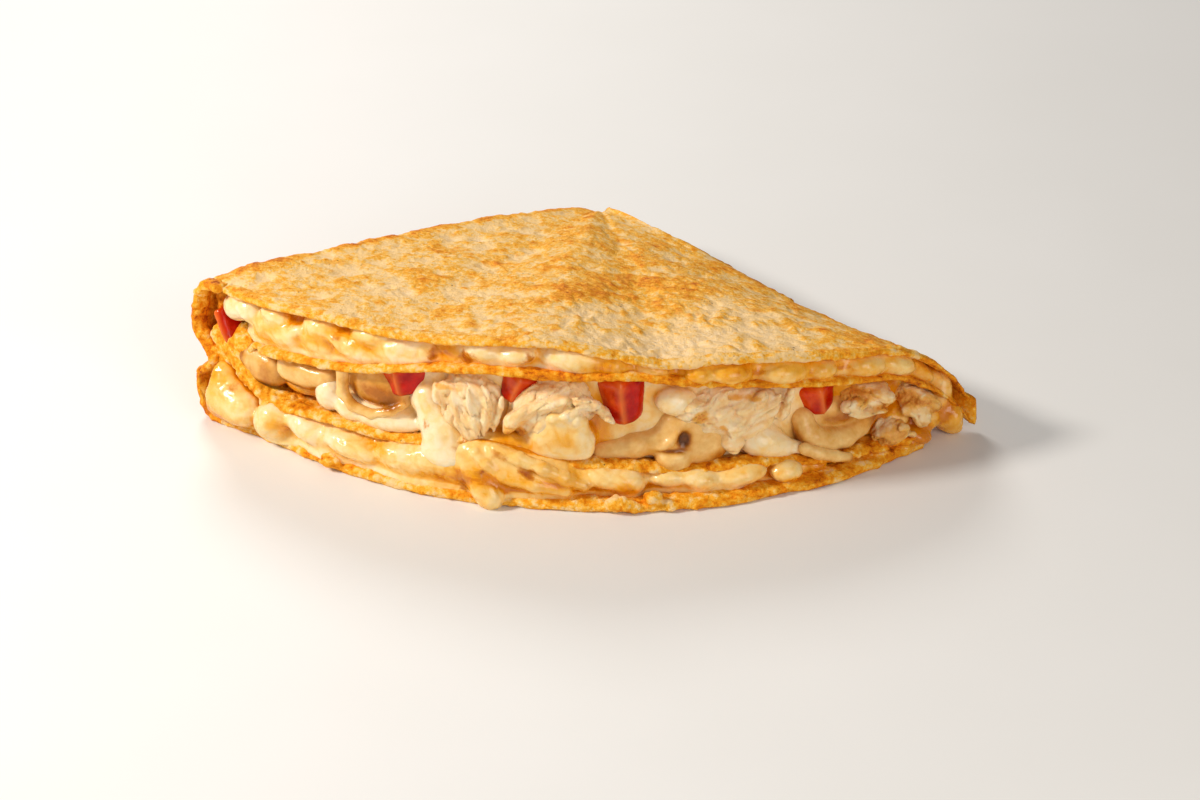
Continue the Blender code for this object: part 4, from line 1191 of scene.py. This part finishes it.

# Mushroom slices: where (degrees, out, up) and how large; then, in mm from there, blobs (right,
# out, up, width, depth, height, tilt, softness, squareness), strands and grooves (places, first
# and last radius, softness) and darker marks (right, up, width, height, strength).
# The marks are partly browned skin edges and dark gills, partly painted shade: in the holes and
# grooves, in the gap between the two left slices, along the undersides and on faces in the shadow
# of the chicken.
MUSHROOMS = {
    "mushroom_fold": {
        "at": (-38.9, 141, 21.6), "size": (20, 14, 14), "shade": 0.18,
        "blobs": ((0, 0, 0, 16, 12, 11.5, 6, 1, 2.8), (-5, 1.5, 2, 8, 9, 7, 0, 1.6, 2)),
        "cuts": ((((-6, 6.4, -2.6), (0, 6.6, -4), (7, 6.2, -4.4)), 0.5, 0.5, 0.5),),
        "marks": ((1, -4.6, 16, 2.6, 1.1), (3, 0, 6, 8, 0.3), (-6, 2, 3, 8, 0.5)),
    },
    "mushroom_left": {
        "at": (-32.9, 141, 24.2), "size": (25, 14, 12), "shade": 0.14,
        "blobs": ((-1, 0, 0, 19, 12, 9.4, 4, 1, 2.8), (7, 0.2, 0.8, 11, 11, 7, -12, 1.5, 2.4)),
        "cuts": ((((-8, 6, -1.6), (-2, 6.6, -2.8), (4, 6.4, -2.2)), 0.45, 0.45, 0.5),),
        "marks": ((-4, -3.6, 13, 2.6, 1.2), (-9.6, 0, 2, 9, 0.8), (7, -2.4, 7, 2, 0.7)),
    },
    "mushroom_brown": {
        "at": (-24.5, 141.5, 23), "size": (26, 14, 20), "shade": 0.05,
        "blobs": ((3.2, 0, 2.8, 22, 10, 13, 14, 1, 2.2),),
        "strings": ((((-6.4, 5, 7.6), (-6, 5.6, 1), (-2.8, 6, -2.2), (3.2, 6, -3.4),
                      (8.8, 5.4, -1.8), (12.4, 4.6, 0.4)), 1.8, 1.1, 0.8),),
        "cuts": ((((-3.8, 6.4, 6), (-3.6, 6.8, 1.8), (-1.2, 7, 0), (3.4, 7, -0.9),
                   (8.4, 6.6, 0)), 0.6, 0.6, 0.8),),
        "marks": ((4, 3, 15, 8, 0.5), (9, 0.6, 7, 4, 0.4), (-2.8, 2.6, 2.2, 9, 0.3),
                  (3.6, -0.4, 12, 1.8, 0.4)),
    },
    "mushroom_middle": {
        "at": (10.6, 142.6, 16.8), "size": (46, 13, 22), "shade": 0.12,
        "blobs": ((5, -0.8, -1, 21, 10, 16.5, 0, 1.5, 2.5), (0.5, -0.5, 5, 12, 9, 8, -20, 2, 2),
                  (-1.6, 2, -6, 10.5, 8, 7.6, -6, 0.5, 2.3)),
        "strings": ((((-22, -0.5, -4.2), (-12, -0.2, -2.2), (-2, 0, 0.4)), 2.7, 4.0, 2),
                    (((-5.6, 3.4, -1.6), (-3, 4, 0.2), (-0.4, 3.8, 2.6)), 1.0, 1.2, 0.8)),
        "cuts": ((((0.9, 5.4, 0), (1.3, 5.2, 1.8)), 2.1, 2.1, 0.6),
                 (((-5.5, 4.6, -2.9), (-1, 5.2, -2.3), (1.4, 5, -1)), 0.7, 0.8, 0.5)),
        "marks": ((1, 0.9, 3.6, 5, 1.5), (-2.4, -2.4, 7, 1.3, 0.8), (12, -6, 7, 5, 0.5),
                  (-12, -6.4, 20, 2.4, 0.4), (8, -8.6, 14, 2.4, 0.5)),
    },
    "mushroom_curl": {
        "at": (28.8, 141.5, 12.8), "size": (37, 14, 20), "shade": 0.1,
        "blobs": ((2, -1.6, 3.2, 25, 9, 10, 4, 2, 2.3),),
        "strings": ((((-9.6, 1, 4), (-9, 2.6, 0.8), (-6.6, 3.4, -1.4), (-2.6, 3.6, -2.8)),
                     3.2, 3.4, 1.0),
                    (((-2.6, 3.6, -2.8), (3, 3.2, -3.4), (9, 1.8, -2.2), (14.4, 0, 1)),
                     3.4, 2.2, 1.0)),
        "marks": ((3, 2.6, 16, 4, 0.5), (14, 0, 6, 6, 0.45), (2, -7, 26, 2.2, 0.6),
                  (-12.4, -1, 2.6, 7, 0.7)),
    },
    "mushroom_strip": {
        "at": (27, 145.5, 7.8), "size": (20, 12, 10), "shade": 0.1,
        "strings": ((((-6.8, 2.6, 2.8), (-3, 3.4, 1), (2, 3.8, -0.8), (6.4, 3.4, -2.6)),
                     1.8, 1.5, 1),),
        "marks": ((0, -3, 16, 1.6, 0.6),),
    },
}


def make_mushroom(name, material, at, size, shade, blobs=(), strings=(), cuts=(), marks=()):
    """A slice modelled from blobs, strands and grooves."""
    clay = Clay.around(*at, *size, PIECE_STEP, room=3)
    centre = to_front(*at)

    def spot(right, out, up):
        return at[0] + right * MM / FRONT / DEGREE, at[1] + out, at[2] + up

    for *place_at, width, depth, height, tilt, soft, power in blobs:
        clay.blob(*spot(*place_at), width, depth, height, tilt, soft=soft, power=power)
    for places, first, last, soft in strings:
        clay.string([spot(*p) for p in places], first, soft, last)
    for places, first, last, soft in cuts:
        clay.string([spot(*p) for p in places], first, soft, last, carve=True)
    points, quads = clay.mesh()
    v = points / MM
    height = 0.18 * fungus.layers(v / 4) + 0.06 * fungus.layers(v / 1.2)
    points = stand_out(points, quads, height)
    own = (points - centre) / MM
    # Base tone, noise and marks: the marks are partly browned edges and dark gills, partly painted
    # shade in holes, grooves, gaps and undersides.
    dark = shade + 0.15 * fungus.layers(v / 5)
    for right, up, width, tall, strength in marks:
        dark = dark + strength * np.exp(-((own[:, 0] - right) / (width / 2)) ** 2
                                        - ((own[:, 2] - up) / (tall / 2)) ** 2)
    masks = {"dark": dark, "shine": ramp01(fungus.layers(v / 6 + 5), -0.3, 0.5)}
    new_object(name + "_slice", to_world(points), quads, [name], material, masks)


# ---------------------------------------------------------------- materials

def srgb(*colour):
    """A colour as seen on screen, 0 to 255, to the renderer's linear values."""
    shares = [c / 255 for c in colour]
    return (*(c / 12.92 if c <= 0.04045 else ((c + 0.055) / 1.055) ** 2.4 for c in shares), 1)


class Look:
    """A procedural material: short calls add nodes and join them. Colours are as on screen."""

    def __init__(self, name, **sockets):
        self.material = bpy.data.materials.new(name)
        self.material.use_nodes = True
        self.tree = self.material.node_tree
        self.shader = self.tree.nodes["Principled BSDF"]
        for key, value in sockets.items():
            self.shader.inputs[key.replace("_", " ")].default_value = value
        self.coords = self.node("TexCoord").outputs["Object"]

    def node(self, kind, **settings):
        """A new node, with some of its own settings."""
        node = self.tree.nodes.new("ShaderNode" + kind)
        for key, value in settings.items():
            setattr(node, key, value)
        return node

    def put(self, socket, value):
        """Joins a node's output to a socket, or gives the socket a number or colour."""
        if hasattr(value, "is_output"):
            self.tree.links.new(value, socket)
        else:
            socket.default_value = srgb(*value) if isinstance(value, tuple) else value

    def mask(self, name):
        return self.node("Attribute", attribute_name=name).outputs["Fac"]

    def noise(self, size, detail=3.0, rough=0.55, shift=0.0):
        """Noise from 0 to 1 whose features are about size millimetres across."""
        node = self.node("TexNoise")
        for key, number in (("Scale", 1 / (size * MM)), ("Detail", detail), ("Roughness", rough)):
            node.inputs[key].default_value = number
        vector = self.coords
        if shift:
            move = self.node("Mapping")
            move.inputs["Location"].default_value = (shift, shift * 0.7, 0)
            self.put(move.inputs["Vector"], vector)
            vector = move.outputs["Vector"]
        self.put(node.inputs["Vector"], vector)
        return node.outputs["Fac"]

    def math(self, kind, a, b):
        node = self.node("Math", operation=kind)
        self.put(node.inputs[0], a)
        self.put(node.inputs[1], b)
        return node.outputs[0]

    def vary(self, value, *parts):
        """Adds to a value: pairs of something from 0 to 1 and how far it moves the value."""
        for part, strength in parts:
            shift = self.math("MULTIPLY", self.math("SUBTRACT", part, 0.5), strength)
            value = self.math("ADD", value, shift)
        return value

    def step(self, value, low, high, out_low=0.0, out_high=1.0):
        """Smooth from out_low at low to out_high at high."""
        node = self.node("MapRange", interpolation_type="SMOOTHSTEP")
        self.put(node.inputs["Value"], value)
        for key, number in (("From Min", low), ("From Max", high), ("To Min", out_low),
                            ("To Max", out_high)):
            node.inputs[key].default_value = number
        return node.outputs["Result"]

    def ramp(self, value, *stops):
        """Colours along a value: each stop is a place, then its red, green and blue."""
        node = self.node("ValToRGB")
        bar = node.color_ramp
        while len(bar.elements) < len(stops):
            bar.elements.new(0.5)
        for element, (at, *colour) in zip(bar.elements, stops):
            element.position = at
            element.color = srgb(*colour)
        self.put(node.inputs["Fac"], value)
        return node.outputs["Color"]

    def paint(self, under, over, *masks):
        """Lays one colour over another, as far as the product of the masks says."""
        share = masks[0]
        for mask in masks[1:]:
            share = self.math("MULTIPLY", share, mask)
        node = self.node("Mix", data_type="RGBA")
        self.put(node.inputs["Factor"], share)
        self.put(node.inputs[6], under)
        self.put(node.inputs[7], over)
        return node.outputs[2]

    def finish(self, colour, roughness, *bumps):
        """Joins colour, roughness and fine relief: pairs of height (0 to 1) and depth in mm."""
        self.put(self.shader.inputs["Base Color"], colour)
        self.put(self.shader.inputs["Roughness"], roughness)
        normal = None
        for height, depth in bumps:
            node = self.node("Bump")
            node.inputs["Distance"].default_value = depth * MM
            self.put(node.inputs["Height"], height)
            if normal:
                self.put(node.inputs["Normal"], normal)
            normal = node.outputs["Normal"]
        if normal:
            self.put(self.shader.inputs["Normal"], normal)
        return self.material


def tortilla_look():
    look = Look("toasted_tortilla", Roughness=0.6, Specular_IOR_Level=0.18)
    toast, crag = look.mask("toast"), look.mask("crag")
    grain = look.noise(1.3, 5, 0.7)
    # The crag mask paints shade and light: the hollows of the relief turn deeper orange and its
    # tops paler.
    value = look.vary(toast, (look.noise(9, 4, 0.62), 1.1),
                      (look.noise(3.6, 4, 0.62, shift=0.2), 1.3), (grain, 1.9), (crag, -1.2))
    colour = look.ramp(value, (0.0, 255, 211, 142), (0.18, 255, 195, 80), (0.4, 252, 173, 34),
                       (0.64, 238, 143, 4), (0.88, 220, 120, 2), (1.0, 184, 86, 2))
    # Pale tops of the crags, partly flour and partly painted highlight, then browned spots and
    # small dark scorch marks.
    colour = look.paint(colour, (255, 228, 192), look.step(crag, 0.6, 0.95),
                        look.step(toast, 0.7, 0.2), look.step(grain, 0.4, 0.6), 0.55)
    colour = look.paint(colour, (204, 104, 6),
                        look.step(look.noise(4.2, 3, 0.6, shift=0.11), 0.6, 0.72),
                        look.step(toast, 0.3, 0.8), 0.35)
    colour = look.paint(colour, (128, 66, 18),
                        look.step(look.noise(1.7, 2, 0.5, shift=0.3), 0.7, 0.76),
                        look.step(look.noise(20, 2), 0.48, 0.6), 0.8)
    return look.finish(colour, look.step(grain, 0.3, 0.7, 0.5, 0.7),
                       (look.noise(2.4, 4, 0.65, shift=0.4), 0.5), (grain, 0.45),
                       (look.noise(0.5, 3, 0.6), 0.2))


def cheese_look():
    look = Look("melted_cheese", Roughness=0.22, Specular_IOR_Level=0.4, Coat_Weight=0.3,
                Coat_Roughness=0.1, Subsurface_Weight=0.25, Subsurface_Radius=(0.9, 0.75, 0.45),
                Subsurface_Scale=1.8 * MM)
    fine = look.noise(1.2, 4, 0.6)
    # The golden mask holds the melt's own golden tone and baked spots, together with painted shade
    # in the hollows and towards the right end.
    value = look.vary(look.mask("golden"), (look.noise(7, 3, 0.5), 0.5),
                      (look.noise(2.2, 4, 0.6, shift=0.3), 0.35))
    # The creases turn a little more golden: painted shade.
    value = look.math("ADD", value, look.math("MULTIPLY", look.mask("crease"), 0.12))
    colour = look.ramp(value, (0.0, 255, 232, 192), (0.3, 253, 212, 134), (0.6, 245, 178, 56),
                       (0.85, 234, 154, 14), (1.0, 216, 128, 4))
    burnt = look.vary(look.mask("brown"), (fine, 0.8))
    colour = look.paint(colour, (208, 132, 26), look.step(burnt, 0.2, 0.7))
    colour = look.paint(colour, (166, 80, 10), look.step(burnt, 0.65, 1.15))
    return look.finish(colour, look.step(look.noise(3, 3), 0.35, 0.65, 0.14, 0.34),
                       (look.noise(2.6, 3, 0.5), 0.25), (fine, 0.06))


def chicken_look():
    look = Look("cooked_chicken", Roughness=0.4, Specular_IOR_Level=0.35, Coat_Weight=0.1,
                Coat_Roughness=0.15, Subsurface_Weight=0.3, Subsurface_Radius=(1.0, 0.65, 0.35),
                Subsurface_Scale=2 * MM)
    cloud = look.noise(4, 4, 0.6)
    colour = look.ramp(cloud, (0.25, 244, 194, 120), (0.5, 252, 214, 152), (0.75, 255, 236, 194))
    colour = look.paint(colour, (255, 240, 214), look.mask("pale"), 0.5)
    # Painted shade: a darker tan in the torn grooves.
    colour = look.paint(colour, (226, 160, 84), look.mask("pit"), 0.3)
    toasted = look.vary(look.mask("brown"), (look.noise(1.8, 4, 0.65, shift=0.2), 1.2))
    colour = look.paint(colour, (240, 176, 78), look.step(toasted, 0.2, 0.8))
    colour = look.paint(colour, (204, 120, 30), look.step(toasted, 0.8, 1.25))
    return look.finish(colour, look.step(cloud, 0.3, 0.7, 0.28, 0.5),
                       (look.noise(0.8, 4, 0.65), 0.3), (look.noise(0.35, 2), 0.06))


def mushroom_look():
    look = Look("cooked_mushroom", Roughness=0.3, Specular_IOR_Level=0.3, Coat_Weight=0.25,
                Coat_Roughness=0.1, Subsurface_Weight=0.2, Subsurface_Radius=(1.0, 0.6, 0.3),
                Subsurface_Scale=1.6 * MM)
    # The dark mask holds the slices' own browned edges and gills together with painted shade.
    value = look.vary(look.mask("dark"), (look.noise(5, 4, 0.6), 0.6),
                      (look.noise(1.8, 4, 0.6, shift=0.5), 0.3))
    colour = look.ramp(value, (0.0, 248, 206, 132), (0.28, 226, 166, 76), (0.55, 184, 106, 14),
                       (1.0, 80, 38, 4))
    return look.finish(colour, look.step(look.mask("shine"), 0.0, 1.0, 0.36, 0.16),
                       (look.noise(2.4, 3, 0.5), 0.2), (look.noise(0.9, 3, 0.6), 0.07))


def tomato_look():
    look = Look("diced_tomato", Roughness=0.2, Specular_IOR_Level=0.2, Coat_Weight=0.2,
                Coat_Roughness=0.04)
    cloud, fine = look.noise(3.4, 4, 0.6), look.noise(0.9, 3, 0.6)
    skin = look.ramp(cloud, (0.3, 160, 2, 0), (0.7, 206, 24, 0))
    inside = look.ramp(cloud, (0.3, 222, 58, 0), (0.7, 244, 104, 24))
    colour = look.paint(skin, inside, look.mask("inner"), 0.85)
    # Painted highlight: a pale orange streak along the ridge.
    colour = look.paint(colour, (240, 130, 50), look.mask("ridge"), 0.55)
    return look.finish(colour, look.step(fine, 0.3, 0.7, 0.1, 0.25), (cloud, 0.25), (fine, 0.06))


def floor_look():
    look = Look("pale_floor")
    tone = look.noise(60, 2, 0.5)
    return look.finish(look.ramp(tone, (0.0, 236, 234, 231), (1.0, 240, 238, 236)), 0.6)


# ---------------------------------------------------------------- build

toasted = tortilla_look()
make_tortilla(toasted)
make_pinched_fold(toasted)
make_fold_lip(toasted)
for label, row in LIPS.items():
    make_lip(label, toasted, *row)
make_cheeses(cheese_look())
meat_look = chicken_look()
for label, spot in CHICKEN.items():
    make_chicken(label, meat_look, *spot)
red_look = tomato_look()
for label, spot in TOMATO.items():
    make_tomato(label, red_look, *spot)
fungus_look = mushroom_look()
for label, row in MUSHROOMS.items():
    make_mushroom(label, fungus_look, **row)


# ---------------------------------------------------------------- floor, light and camera

def make_floor(material):
    """The pale ground that the wrap lies on."""
    size = 2.5
    corners = [(-size, -size, 0), (size, -size, 0), (size, size, 0), (-size, size, 0)]
    mesh = bpy.data.meshes.new("floor")
    mesh.from_pydata(corners, [], [(0, 1, 2, 3)])
    mesh.materials.append(material)
    floor = bpy.data.objects.new("floor", mesh)
    bpy.context.scene.collection.objects.link(floor)


# Round lamps of a soft studio: place, width, watts and colour.
LAMPS = {
    "key": ((-0.62, -0.22, 0.5), 0.16, 5.1, (1.0, 0.96, 0.9)),
    "back": ((-0.25, 0.62, 0.5), 0.3, 2.9, (1.0, 0.97, 0.93)),
    "fill": ((0.4, -0.7, 0.35), 0.6, 2.7, (1.0, 0.95, 0.88)),
}
LIT = Vector((0, -0.02, 0.02))


def add_light(name, spot, size, watts, colour):
    """A lamp that points at the middle of the wrap."""
    data = bpy.data.lights.new(name, "AREA")
    data.shape = "DISK"
    data.size = size
    data.energy = watts
    data.color = colour
    light = bpy.data.objects.new(name, data)
    light.location = spot
    light.rotation_euler = (LIT - Vector(spot)).to_track_quat("-Z", "Y").to_euler()
    bpy.context.scene.collection.objects.link(light)


make_floor(floor_look())
for label, lamp in LAMPS.items():
    add_light(label, *lamp)

world = bpy.data.worlds.new("studio")
world.use_nodes = True
world.node_tree.nodes["Background"].inputs["Color"].default_value = (1.0, 0.985, 0.96, 1)
world.node_tree.nodes["Background"].inputs["Strength"].default_value = 0.2
bpy.context.scene.world = world
bpy.context.scene.view_settings.view_transform = "Standard"

# The photograph's camera: 28 degrees above the board and 2 degrees to the right of the front.
CAMERA_AZIMUTH, CAMERA_ELEVATION = 2 * DEGREE, 28 * DEGREE
CAMERA_DISTANCE = 1.260
CAMERA_LENS = 132
TARGET = Vector((POINT.x + 0.00309, POINT.y - 0.08835, 0))
back = Vector((math.sin(CAMERA_AZIMUTH) * math.cos(CAMERA_ELEVATION),
               -math.cos(CAMERA_AZIMUTH) * math.cos(CAMERA_ELEVATION),
               math.sin(CAMERA_ELEVATION)))
camera_data = bpy.data.cameras.new("camera")
camera_data.lens = CAMERA_LENS
camera_data.sensor_width = 36
camera_data.clip_start, camera_data.clip_end = 0.05, 20
camera = bpy.data.objects.new("camera", camera_data)
camera.location = TARGET + back * CAMERA_DISTANCE
camera.rotation_mode = "QUATERNION"
camera.rotation_quaternion = (-back).to_track_quat("-Z", "Y")
bpy.context.scene.collection.objects.link(camera)
bpy.context.scene.camera = camera
